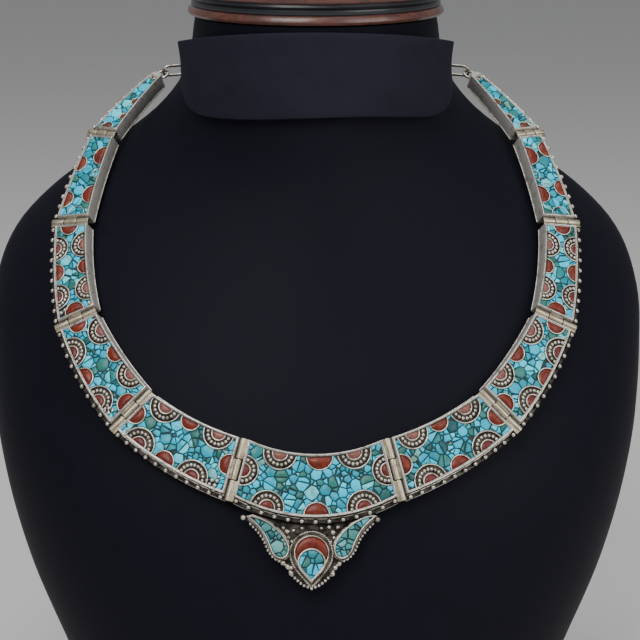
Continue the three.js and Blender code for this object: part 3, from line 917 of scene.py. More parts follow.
@dataclass
class Pattern:
    """A small shape that is modelled once and set many times."""

    verts: np.ndarray
    loops: np.ndarray
    counts: np.ndarray

    @classmethod
    def taken_from(cls, piece: bpy.types.Object) -> "Pattern":
        """Reads a modelled object and removes it.

        Args:
            piece: the object.

        Returns:
            The pattern.
        """
        mesh = piece.data
        verts = np.zeros(len(mesh.vertices) * 3)
        mesh.vertices.foreach_get("co", verts)
        loops = np.zeros(len(mesh.loops), dtype=np.int32)
        mesh.loops.foreach_get("vertex_index", loops)
        counts = np.zeros(len(mesh.polygons), dtype=np.int32)
        mesh.polygons.foreach_get("loop_total", counts)
        bpy.data.objects.remove(piece)
        return cls(verts.reshape(-1, 3), loops, counts)

    def set_at(self, name: str, places: list[Matrix]) -> bpy.types.Object:
        """Makes one object with a copy at each place.

        Args:
            name: the object's name.
            places: a matrix for each copy.

        Returns:
            The object.
        """
        verts, own = [], []
        for step, place in enumerate(places):
            turn = np.array(place.to_3x3())
            verts.append(self.verts @ turn.T + np.array(place.to_translation()))
            own.append((self.verts * np.array(place.to_scale()) + step * OWN_STEP) * MM)
        offsets = np.arange(len(places)) * len(self.verts)
        loops = (self.loops[None, :] + offsets[:, None]).ravel()
        piece = mesh_object(name, np.concatenate(verts), loops, np.tile(self.counts, len(places)))
        attribute = piece.data.attributes.new("own_place", "FLOAT_VECTOR", "POINT")
        attribute.data.foreach_set("vector", np.concatenate(own).astype(np.float32).ravel())
        return piece


def wires(name: str, paths: list[list[Vector]], radius: float, closed: bool = False) -> bpy.types.Object:
    """Makes round wire along paths.

    Args:
        name: the object's name.
        paths: the points of each wire.
        radius: the wire's radius.
        closed: whether each wire runs back to its start.

    Returns:
        The wire as a mesh.
    """
    curve = bpy.data.curves.new(name, "CURVE")
    curve.dimensions = "3D"
    curve.bevel_depth = radius
    curve.bevel_resolution = 2
    curve.use_fill_caps = True
    for path in paths:
        spline = curve.splines.new("POLY")
        spline.points.add(len(path) - 1)
        for point, place in zip(spline.points, path):
            point.co = (*place, 1.0)
        spline.use_cyclic_u = closed
    piece = bpy.data.objects.new(name, curve)
    bpy.context.scene.collection.objects.link(piece)
    pick(piece)
    bpy.ops.object.convert(target="MESH")
    return smooth(bpy.context.object, 60.0)


class Patterns:
    """The small shapes that the silversmith sets many times, each of unit size."""

    def __init__(self) -> None:
        """Models every pattern."""
        self.granule = self._granule()
        self.half_drum = self._half_drum()
        self.half_dome = self._half_dome()
        self.knuckle = self._knuckle()
        self.leaf = self._leaf()
        self.ring = self._ring()

    @staticmethod
    def _granule() -> Pattern:
        """A ball of radius 1."""
        return Pattern.taken_from(primitive("ico_sphere", subdivisions=2, radius=1.0))

    @staticmethod
    def _half_drum() -> Pattern:
        """Half a drum of radius 1 from z -1 to 0, its flat side on x 0."""
        piece = primitive("cylinder", vertices=40, radius=1.0, depth=1.0, location=(0.0, 0.0, -0.5))
        with editing(piece):
            bpy.ops.mesh.bisect(plane_co=(0, 0, 0.5), plane_no=(1, 0, 0), clear_inner=True, use_fill=True)
        piece.data.transform(piece.matrix_world)
        return Pattern.taken_from(piece)

    @staticmethod
    def _half_dome() -> Pattern:
        """Half a low dome of radius 1 and height 1 over z 0, its flat side on x 0."""
        piece = primitive("uv_sphere", segments=36, ring_count=18, radius=1.0)
        with editing(piece):
            bpy.ops.mesh.bisect(plane_co=(0, 0, 0), plane_no=(0, 0, 1), clear_inner=True, use_fill=True)
        with editing(piece):
            bpy.ops.mesh.bisect(plane_co=(0, 0, 0), plane_no=(1, 0, 0), clear_inner=True, use_fill=True)
        for vertex in piece.data.vertices:
            reach = min(1.0, math.hypot(vertex.co.x, vertex.co.y))
            edge = min(1.0, vertex.co.x / 0.42) if reach < 0.999 else 1.0
            level = (1.0 - reach ** 2.5) ** 0.5
            rounded = math.sqrt(max(0.0, 1.0 - (1.0 - max(0.0, edge)) ** 2))
            if vertex.co.z > 1e-4:
                vertex.co.z = level * (0.3 + 0.7 * rounded)
        return Pattern.taken_from(piece)

    @staticmethod
    def _knuckle() -> Pattern:
        """A hinge knuckle of radius 1 and length 1 along y, its ends softened."""
        piece = primitive("cylinder", vertices=20, radius=1.0, depth=1.0, rotation=(math.pi / 2, 0.0, 0.0))
        with editing(piece):
            soften_edges(0.05)
        piece.data.transform(piece.matrix_world)
        return Pattern.taken_from(piece)

    @staticmethod
    def _leaf() -> Pattern:
        """A hinge leaf: a slab with sides of 1."""
        piece = primitive("cube", size=1.0)
        with editing(piece):
            soften_edges(0.04)
        return Pattern.taken_from(piece)

    @staticmethod
    def _ring() -> Pattern:
        """A wire ring of middle radius 1, its wire 0.26 thick in radius."""
        sizes = {"major_segments": 30, "minor_segments": 10, "major_radius": 1.0, "minor_radius": 0.26}
        return Pattern.taken_from(primitive("torus", **sizes))


# Shape of the plaques


class Edge(Enum):
    """The edge of a plaque that a half disc is set against."""

    INNER = "inner"
    OUTER = "outer"
    NEAR = "near"
    FAR = "far"


class Kind(Enum):
    """What fills a half disc."""

    MEDALLION = "medallion"
    CORAL = "coral"
    SOLDERED = "soldered"
    CHIPS = "chips"


@dataclass(frozen=True)
class Motif:
    """A half disc on a plaque's face: its filling, its edge, its place along it and its radius."""

    kind: Kind
    edge: Edge
    at: float
    radius: float
    left: float = 0.0

    def on_side(self, is_left: bool) -> "Motif":
        """The same half disc at its place on one side."""
        return Motif(self.kind, self.edge, self.left if is_left and self.left else self.at, self.radius)


@dataclass(frozen=True)
class Bow:
    """The arc from start to end that bows toward -y."""

    start: Vector
    end: Vector
    height: float

    def at(self, share: float) -> tuple[Vector, Vector]:
        """A point on the arc and the way out of it.

        Args:
            share: 0 at the start, 1 at the end.

        Returns:
            The point, and the unit vector away from the arc's centre.
        """
        along = self.end - self.start
        chord = along.length
        along = along.normalized()
        side = Vector((along.y, -along.x))
        radius = (chord * chord / 4 + self.height ** 2) / (2 * self.height)
        centre = (self.start + self.end) / 2 + side * (self.height - radius)
        angle = (2 * share - 1) * math.asin(chord / 2 / radius)
        out = side * math.cos(angle) + along * math.sin(angle)
        return centre + out * radius, out


def turned(x: float, y: float, angle: float) -> Vector:
    """A 2D vector turned by an angle in radians."""
    return Vector((x * math.cos(angle) - y * math.sin(angle), x * math.sin(angle) + y * math.cos(angle)))


@dataclass(frozen=True)
class Plaque:
    """The outline of one box plaque, in its own plane, in millimetres and degrees."""

    length: float
    near: tuple[float, float]
    far: tuple[float, float]
    turn: float
    fold: float
    inner_bow: float
    outer_bow: float
    motifs: tuple[Motif, ...]
    is_tip: bool = False

    def corner(self, at_far: bool, across: float, room: float) -> Vector:
        """A point on the line of a hinge, drawn in by room."""
        half = math.radians(self.turn / 2)
        if at_far:
            return turned(-room, across, half) + Vector((self.length, 0.0))
        return turned(room, across, -half)

    def edge(self, inner: bool, room: float, inset: float) -> Bow:
        """One of the two long edges, drawn in by room at its ends and by inset all along."""
        sign, side = (1, 0) if inner else (-1, 1)
        start = self.corner(False, sign * (self.near[side] - inset), room)
        end = self.corner(True, sign * (self.far[side] - inset), room)
        return Bow(start, end, self.inner_bow if inner else self.outer_bow)

    def point(self, along: float, across: float, room: float = HINGE_ROOM, inset: float = 0.0) -> Vector:
        """A point of the face.

        Args:
            along: 0 at the near hinge, 1 at the far one.
            across: 0 on the inner edge, 1 on the outer one.
            room: how far the ends are drawn in.
            inset: how far the long edges are drawn in.

        Returns:
            The point in the plaque's plane.
        """
        inner = self.edge(True, room, inset).at(along)[0]
        outer = self.edge(False, room, inset).at(along)[0]
        return inner.lerp(outer, across)

    def reach(self, at_far: bool) -> tuple[float, float]:
        """The width of a hinge, and how far its middle lies towards the inner edge."""
        inner, outer = self.far if at_far else self.near
        return inner + outer + LEDGE_WIDTH, (inner - outer - LEDGE_WIDTH) / 2

    def outline(self, room: float, inset: float, steps: int = 28) -> list[Vector]:
        """The outline of the face, from the near inner corner round past the far end and back.

        Args:
            room: how far the ends are drawn in.
            inset: how far the long edges are drawn in.
            steps: points along each long edge.

        Returns:
            The points.
        """
        ends = max(4, steps // 4)
        shares = [(step / steps, 0.0) for step in range(steps)]
        shares += [(1.0, step / ends) for step in range(ends)]
        shares += [(1.0 - step / steps, 1.0) for step in range(steps)]
        shares += [(0.0, 1.0 - step / ends) for step in range(ends)]
        return [self.point(along, across, room, inset) for along, across in shares]

    def seat(self, motif: Motif) -> tuple[Vector, float]:
        """Where a half disc sits.

        Args:
            motif: the half disc.

        Returns:
            The middle of its straight side, and the angle of its way into the face.
        """
        room = HINGE_ROOM + WALL
        if motif.edge in (Edge.INNER, Edge.OUTER):
            is_inner = motif.edge is Edge.INNER
            place, out = self.edge(is_inner, room, WALL).at(motif.at)
            way = out if is_inner else -out
            return place, math.atan2(way.y, way.x)
        at_far = motif.edge is Edge.FAR
        inner, outer = self.far if at_far else self.near
        start = self.corner(at_far, inner - WALL, room)
        end = self.corner(at_far, WALL - outer, room)
        half = math.radians(self.turn / 2)
        return start.lerp(end, motif.at), (math.pi + half) if at_far else -half

    def hinge(self, at_far: bool, fold: float) -> Matrix:
        """The frame of a hinge's axis: y along the barrel, z out of the face."""
        sign = 1 if at_far else -1
        place = Matrix.Translation((self.length if at_far else 0.0, 0.0, 0.0))
        place = place @ Matrix.Rotation(sign * math.radians(self.turn / 2), 4, "Z")
        place = place @ Matrix.Rotation(sign * math.radians(fold / 2), 4, "Y")
        return place @ Matrix.Translation((0.0, self.reach(at_far)[1], -HINGE_SINK))

    def far_end(self, level: float) -> Matrix:
        """The frame of the far end's line, x out of the plaque, at a level."""
        place = Matrix.Translation((self.length, 0.0, level))
        return place @ Matrix.Rotation(math.radians(self.turn / 2), 4, "Z")

    def eye(self) -> Matrix:
        """The frame of the eye's middle at the far end of the last plaque."""
        reach = TIP_ROUND - HINGE_ROOM + EYE_RADIUS - EYE_BITE
        return self.far_end(-CASE_DEPTH / 2) @ Matrix.Translation((reach, EYE_OFFSET, 0.0))


M, C, S, T = Kind.MEDALLION, Kind.CORAL, Kind.SOLDERED, Kind.CHIPS
INNER, OUTER, NEAR, FAR = Edge.INNER, Edge.OUTER, Edge.NEAR, Edge.FAR

PLAQUES = (
    Plaque(53.0, (10.7, 8.7), (10.7, 8.7), 29.5, 0.0, 4.8, 6.9, (
        Motif(M, INNER, 0.235, 5.8), Motif(C, INNER, 0.53, 4.6), Motif(M, INNER, 0.79, 5.8),
        Motif(M, OUTER, 0.2, 5.9), Motif(C, OUTER, 0.507, 4.5), Motif(M, OUTER, 0.8, 6.0),
        Motif(M, NEAR, 0.53, 5.3), Motif(M, FAR, 0.525, 5.4))),
    Plaque(42.7, (10.7, 8.7), (9.0, 8.0), 31.0, 12.5, 1.3, 1.85, (
        Motif(M, INNER, 0.19, 5.6), Motif(C, INNER, 0.49, 3.6, 0.515), Motif(M, INNER, 0.81, 5.8, 0.82),
        Motif(M, OUTER, 0.2, 6.0, 0.28), Motif(C, OUTER, 0.48, 3.9, 0.545), Motif(M, OUTER, 0.755, 5.9, 0.8),
        Motif(C, NEAR, 0.5, 3.7), Motif(C, FAR, 0.58, 3.7, 0.52))),
    Plaque(41.2, (9.0, 8.0), (6.5, 7.6), 23.5, 8.5, 1.0, 1.7, (
        Motif(M, INNER, 0.205, 5.6), Motif(C, INNER, 0.505, 3.6), Motif(M, INNER, 0.815, 5.5),
        Motif(M, OUTER, 0.215, 5.8), Motif(C, OUTER, 0.485, 3.9), Motif(M, OUTER, 0.76, 5.8),
        Motif(C, NEAR, 0.51, 3.7), Motif(C, FAR, 0.6, 3.6, 0.53))),
    Plaque(39.0, (6.5, 7.6), (4.85, 7.65), 23.0, 6.0, 1.1, 1.1, (
        Motif(M, INNER, 0.215, 5.0), Motif(C, INNER, 0.49, 3.1), Motif(M, INNER, 0.765, 5.1),
        Motif(M, OUTER, 0.228, 5.1), Motif(C, OUTER, 0.49, 3.7), Motif(M, OUTER, 0.755, 5.1),
        Motif(C, NEAR, 0.52, 3.8), Motif(C, FAR, 0.54, 3.6))),
    Plaque(38.4, (4.85, 7.65), (3.6, 6.1), 12.0, 6.5, 0.7, 0.8, (
        Motif(S, INNER, 0.25, 3.9), Motif(S, INNER, 0.76, 4.1),
        Motif(S, OUTER, 0.333, 3.7, 0.195), Motif(S, OUTER, 0.83, 3.6, 0.644),
        Motif(T, NEAR, 0.58, 3.4, 0.41), Motif(T, INNER, 0.5, 2.2, 0.53))),
    Plaque(33.0, (3.6, 6.1), (2.7, 2.0), 20.0, 10.0, 0.6, 0.8, (
        Motif(S, NEAR, 0.5, 2.6), Motif(S, INNER, 0.22, 1.9), Motif(S, INNER, 0.52, 1.9),
        Motif(S, FAR, 0.5, 1.4)), True),
)

# Granules in the corners of the left plaques, by plaque: along and across in the plaque's plane, and radius
CORNER_GRANULES = {
    "l1": (
        (3.4, -6.3, 0.74), (5.0, -6.9, 0.74), (3.4, -7.9, 0.72), (5.1, -8.5, 0.68), (6.6, -7.7, 0.62),
        (3.6, -4.9, 0.58), (2.9, -9.3, 0.58), (39.6, -6.4, 0.7)),
    "l2": ((3.2, -5.5, 0.7), (4.7, -6.3, 0.66), (3.3, -7.1, 0.7), (4.8, -7.9, 0.6)),
    "l3": ((2.8, -6.3, 0.7), (3.5, -4.9, 0.6), (4.0, 4.4, 0.66)),
}


def collar_frame() -> Matrix:
    """From the centre plaque's leaning plane, in millimetres, to the frame, in metres."""
    lean = math.radians(CENTRE_LEAN)
    tilt = Matrix((
        (1.0, 0.0, 0.0, 0.0),
        (0.0, math.sin(lean), -math.cos(lean), 0.0),
        (0.0, math.cos(lean), math.sin(lean), 0.0),
        (0.0, 0.0, 0.0, 1.0),
    ))
    return Matrix.Scale(MM, 4) @ Matrix.Translation((0.0, CENTRE_DEPTH, CENTRE_HEIGHT)) @ tilt


def plaque_frames() -> dict[str, tuple[int, Matrix]]:
    """Each plaque's number and frame by its tag, the left side mirrored."""
    base = collar_frame()
    centre = PLAQUES[0]
    frames = {"centre": (0, base @ Matrix.Translation((-centre.length / 2, HINGE_RISE, 0.0)))}
    mirror = Matrix.Scale(-1, 4, (1, 0, 0))
    hinge = Matrix.Translation((centre.length / 2, HINGE_RISE, 0.0))
    hinge = hinge @ Matrix.Rotation(math.radians(centre.turn / 2), 4, "Z")
    for number, plaque in enumerate(PLAQUES[1:], start=1):
        half = Matrix.Rotation(math.radians(plaque.turn / 2), 4, "Z")
        place = hinge @ Matrix.Rotation(math.radians(plaque.fold), 4, "Y") @ half
        frames[f"r{number}"] = (number, base @ place)
        frames[f"l{number}"] = (number, mirror @ base @ place)
        hinge = place @ Matrix.Translation((plaque.length, 0.0, 0.0)) @ half
    return frames


# Turquoise mosaic


def surface(points: np.ndarray) -> float:
    """The area of a polygon, from its corners."""
    following = np.roll(points, -1, axis=0)
    return 0.5 * float((points[:, 0] * following[:, 1] - points[:, 1] * following[:, 0]).sum())


@dataclass
class Mosaic:
    """A field of irregular polished chips within an outline, clear of round holes."""

    outline: list[Vector]
    holes: list[tuple[Vector, float]]
    seed: int
    size: float = 1.0
    joint: float = 0.31
    bottom: float = -0.9
    top: float = -0.02
    crown: float = 0.0
    finish: TurquoiseChips = TURQUOISE
    throws: tuple[tuple[float, float], ...] = ((2.2, 0.06), (1.8, 0.12), (1.4, 0.4), (1.0, 1.6), (0.7, 7.0))
    clearance: float = 0.58
    spacing: float = 0.86
    side_skew: float = 0.16
    corner_step: float = 0.55
    least_gap: float = 0.06
    least_area: float = 0.3
    least_fullness: float = 0.022
    tilt: float = 0.11
    crack_area: float = 4.2
    crack_share: float = 0.6
    crack_slant: float = 0.75
    crack_shift: float = 0.16
    border: np.ndarray = field(init=False)

    def __post_init__(self) -> None:
        """Turns the outline into an array."""
        self.border = np.array([tuple(point) for point in self.outline])

    def inside(self, points: np.ndarray) -> np.ndarray:
        """Which points lie within the outline.

        Args:
            points: rows of x and y.

        Returns:
            True or False for each.
        """
        start = self.border
        end = np.roll(self.border, -1, axis=0)
        px = points[:, 0][:, None]
        py = points[:, 1][:, None]
        crosses = (start[:, 1] > py) != (end[:, 1] > py)
        rise = np.where(end[:, 1] == start[:, 1], 1e-9, end[:, 1] - start[:, 1])
        at = start[:, 0] + (py - start[:, 1]) * (end[:, 0] - start[:, 0]) / rise
        return (crosses & (px < at)).sum(axis=1) % 2 == 1

    def confined(self, points: np.ndarray) -> np.ndarray:
        """Moves points out of the holes and back within the outline.

        Args:
            points: rows of x and y.

        Returns:
            The moved points.
        """
        moved = points.copy()
        for centre, radius in self.holes:
            away = moved - np.array(tuple(centre))
            reach = np.maximum(np.linalg.norm(away, axis=1), 1e-6)
            too_near = reach < radius
            moved[too_near] += (away * (radius / reach - 1)[:, None])[too_near]
        outside = ~self.inside(moved)
        if outside.any():
            feet, gaps = self.feet(moved[outside])
            moved[outside] = feet[np.arange(len(feet)), gaps.argmin(axis=1)]
        return moved

    def feet(self, points: np.ndarray) -> tuple[np.ndarray, np.ndarray]:
        """The nearest places on each side of the outline.

        Args:
            points: rows of x and y.

        Returns:
            The places for each point and side, and how far off they are.
        """
        along = np.roll(self.border, -1, axis=0) - self.border
        length = np.maximum((along ** 2).sum(axis=1), 1e-9)
        share = np.clip(((points[:, None, :] - self.border) * along).sum(axis=2) / length, 0, 1)
        feet = self.border + share[:, :, None] * along
        return feet, np.linalg.norm(feet - points[:, None, :], axis=2)

    def seeds(self, chance: random.Random) -> np.ndarray:
        """Scatters the middles of the chips, the largest first.

        Args:
            chance: the seeded generator.

        Returns:
            Rows of x, y and radius.
        """
        low, high = self.border.min(axis=0), self.border.max(axis=0)
        area = float(np.prod(high - low))
        chosen: list[tuple[float, float, float]] = []
        for base, share in self.throws:
            count = int(area * share / self.size ** 2)
            if not count:
                continue
            spots = np.array([
                (chance.uniform(low[0], high[0]), chance.uniform(low[1], high[1])) for _ in range(count)])
            reach = base * self.size
            free = self.inside(spots) & (self.margin(spots) > self.clearance * reach)
            for x, y in spots[free]:
                radius = reach * chance.uniform(0.88, 1.12)
                if all(math.hypot(x - a, y - b) > self.spacing * (radius + other) for a, b, other in chosen):
                    chosen.append((x, y, radius))
        return np.array(chosen)

    def margin(self, points: np.ndarray) -> np.ndarray:
        """How far points within the outline lie from it and from the holes.

        Args:
            points: rows of x and y.

        Returns:
            The least distance for each.
        """
        least = self.feet(points)[1].min(axis=1)
        for centre, radius in self.holes:
            least = np.minimum(least, np.linalg.norm(points - np.array(tuple(centre)), axis=1) - radius)
        return least

    def cell(self, index: int, seeds: np.ndarray, chance: random.Random) -> np.ndarray:
        """The polygon of one chip: a cell that grows with its radius, its sides a little askew.

        Args:
            index: which seed.
            seeds: all the seeds.
            chance: the seeded generator.

        Returns:
            Its corners, before it is confined.
        """
        own, radius = seeds[index, :2], seeds[index, 2]
        reach = 2.0 * radius
        cell = [own + np.array(corner) * reach for corner in ((-1, -1), (1, -1), (1, 1), (-1, 1))]
        gaps = np.linalg.norm(seeds[:, :2] - own, axis=1)
        for other in np.argsort(gaps)[1:18]:
            gap = gaps[other]
            limit = (gap ** 2 + radius ** 2 - seeds[other, 2] ** 2) / (2 * gap)
            limit -= self.joint / 2 * chance.uniform(0.7, 1.4)
            x, y = (seeds[other, :2] - own) / gap
            away = np.array(turned(x, y, chance.uniform(-self.side_skew, self.side_skew)))
            cell = self.clipped(cell, own + away * limit, away)
            if len(cell) < 3:
                break
        return np.array(cell)

    @staticmethod
    def clipped(cell: Sequence[np.ndarray], place: np.ndarray, away: np.ndarray) -> list[np.ndarray]:
        """Cuts a polygon along a straight line.

        Args:
            cell: its corners.
            place: a point on the line.
            away: the line's normal, towards the part that goes.

        Returns:
            The corners of the part that stays.
        """
        sides = [float((corner - place) @ away) for corner in cell]
        kept = []
        for step, corner in enumerate(cell):
            following = (step + 1) % len(cell)
            if sides[step] <= 0:
                kept.append(corner)
            if (sides[step] < 0) != (sides[following] < 0) and sides[step] != sides[following]:
                share = sides[step] / (sides[step] - sides[following])
                kept.append(corner + (cell[following] - corner) * share)
        return kept

    def cracked(self, cell: np.ndarray, chance: random.Random) -> list[np.ndarray]:
        """Splits some of the large chips in two, across their longer way, as they were broken.

        Args:
            cell: the corners of a chip.
            chance: the seeded generator.

        Returns:
            The corners of one or two chips, with few sides each.
        """
        if len(cell) < 3:
            return []
        area = surface(cell)
        slant = chance.uniform(-self.crack_slant, self.crack_slant)
        shift = chance.uniform(-self.crack_shift, self.crack_shift) * math.sqrt(area)
        if area < self.crack_area or chance.random() > self.crack_share:
            return [self.sharpened(cell, max(0.8, 0.3 * math.sqrt(area)))]
        centre = cell.mean(axis=0)
        away = np.array(turned(*np.linalg.svd(cell - centre)[2][0], slant))
        halves = []
        for side in (1.0, -1.0):
            half = self.clipped(list(cell), centre + away * (shift - side * self.joint / 2), away * side)
            if len(half) > 2:
                half = np.array(half)
                halves.append(self.sharpened(half, max(0.7, 0.22 * math.sqrt(surface(half)))))
        return halves

    @staticmethod
    def sharpened(cell: np.ndarray, least: float) -> np.ndarray:
        """Merges corners that lie close together, so that a chip has few sides.

        Args:
            cell: the corners.
            least: the shortest side that stays.

        Returns:
            The corners that are left.
        """
        while len(cell) > 3:
            sides = np.linalg.norm(np.roll(cell, -1, axis=0) - cell, axis=1)
            step = int(sides.argmin())
            if sides[step] > least:
                break
            following = (step + 1) % len(cell)
            cell[step] = (cell[step] + cell[following]) / 2
            cell = np.delete(cell, following, axis=0)
        return cell

    @staticmethod
    def densified(cell: np.ndarray, step: float) -> np.ndarray:
        """Adds points along the sides of a polygon.

        Args:
            cell: its corners.
            step: the longest side that stays whole.

        Returns:
            The corners with the new points between them.
        """
        points = []
        for corner, following in zip(cell, np.roll(cell, -1, axis=0)):
            count = max(1, int(np.linalg.norm(following - corner) / step))
            points += [corner + (following - corner) * part / count for part in range(count)]
        return np.array(points)

    def chips(self) -> list[np.ndarray]:
        """The outlines of all chips."""
        chance = random.Random(self.seed)
        seeds = self.seeds(chance)
        found = []
        cells = [part for index in range(len(seeds))
                 for part in self.cracked(self.cell(index, seeds, chance), chance)]
        for cell in cells:
            points = self.confined(self.densified(cell, self.corner_step))
            gaps = np.linalg.norm(points - np.roll(points, 1, axis=0), axis=1)
            points = points[gaps > self.least_gap]
            if len(points) < 3:
                continue
            area = surface(points)
            rim = float(np.linalg.norm(np.roll(points, -1, axis=0) - points, axis=1).sum())
            if area > self.least_area and area / rim ** 2 > self.least_fullness:
                found.append(points)
        return found

    def build(self, name: str) -> bpy.types.Object:
        """Makes the chips as one mesh with a shade for each chip.

        Args:
            name: the object's name.

        Returns:
            The object, in the plane's millimetres.
        """
        chance = random.Random(self.seed + 1)
        verts, loops, counts, shades = [], [], [], []
        middle = self.border.mean(axis=0)
        extent = np.abs(self.border - middle).max(axis=0)
        for points in self.chips():
            start = sum(len(block) for block in verts)
            count = len(points)
            centre = points.mean(axis=0)
            out = points - centre
            reach = np.maximum(np.linalg.norm(out, axis=1), 0.05)[:, None]
            tilt = np.array([chance.uniform(-self.tilt, self.tilt) for _ in range(2)])
            height = self.top + chance.uniform(-0.1, 0.08)
            offset = (centre - middle) / extent
            height += self.crown * (1.0 - min(1.0, float(offset @ offset)))
            for inset, drop in ((0.0, None), (0.0, 0.2), (0.07, 0.07), (0.2, 0.0)):
                ring = points - out / reach * np.minimum(inset, reach * 0.5)
                lift = height + (ring - centre) @ tilt - (drop or 0.0)
                level = np.full(count, self.bottom) if drop is None else lift
                verts.append(np.column_stack([ring, level]))
            for ring in range(3):
                for step in range(count):
                    following = (step + 1) % count
                    low = start + ring * count
                    loops += [low + step, low + following, low + following + count, low + step + count]
                    counts.append(4)
            loops += list(range(start + 3 * count, start + 4 * count))
            counts.append(count)
            shades += [chance.betavariate(1.25, 1.15)] * (3 * count + 1)
        piece = mesh_object(name, np.concatenate(verts), np.array(loops), np.array(counts))
        attribute = piece.data.attributes.new("chip_shade", "FLOAT", "FACE")
        attribute.data.foreach_set("value", np.array(shades, dtype=np.float32))
        return smooth(paint(piece, self.finish), 50.0)


# The collar


def seat_frame(place: Vector, way: float, level: float) -> Matrix:
    """The frame of a half disc: x into the face, z out of it."""
    return Matrix.Translation((place.x, place.y, level)) @ Matrix.Rotation(way, 4, "Z")


def arc_path(place: Vector, way: float, radius: float, level: float, steps: int = 18) -> list[Vector]:
    """The half circle round a seat.

    Args:
        place: the seat's middle.
        way: its way into the face.
        radius: the half circle's radius.
        level: its height.
        steps: its parts.

    Returns:
        Its points.
    """
    points = []
    for step in range(steps + 1):
        angle = way + math.pi * (step / steps - 0.5)
        points.append(Vector((place.x + radius * math.cos(angle), place.y + radius * math.sin(angle), level)))
    return points


def block(place: tuple[float, float, float], sizes: tuple[float, float, float]) -> Matrix:
    """Stretches a pattern of unit size and sets it in a place."""
    return Matrix.Translation(place) @ Matrix.Diagonal((*sizes, 1.0))


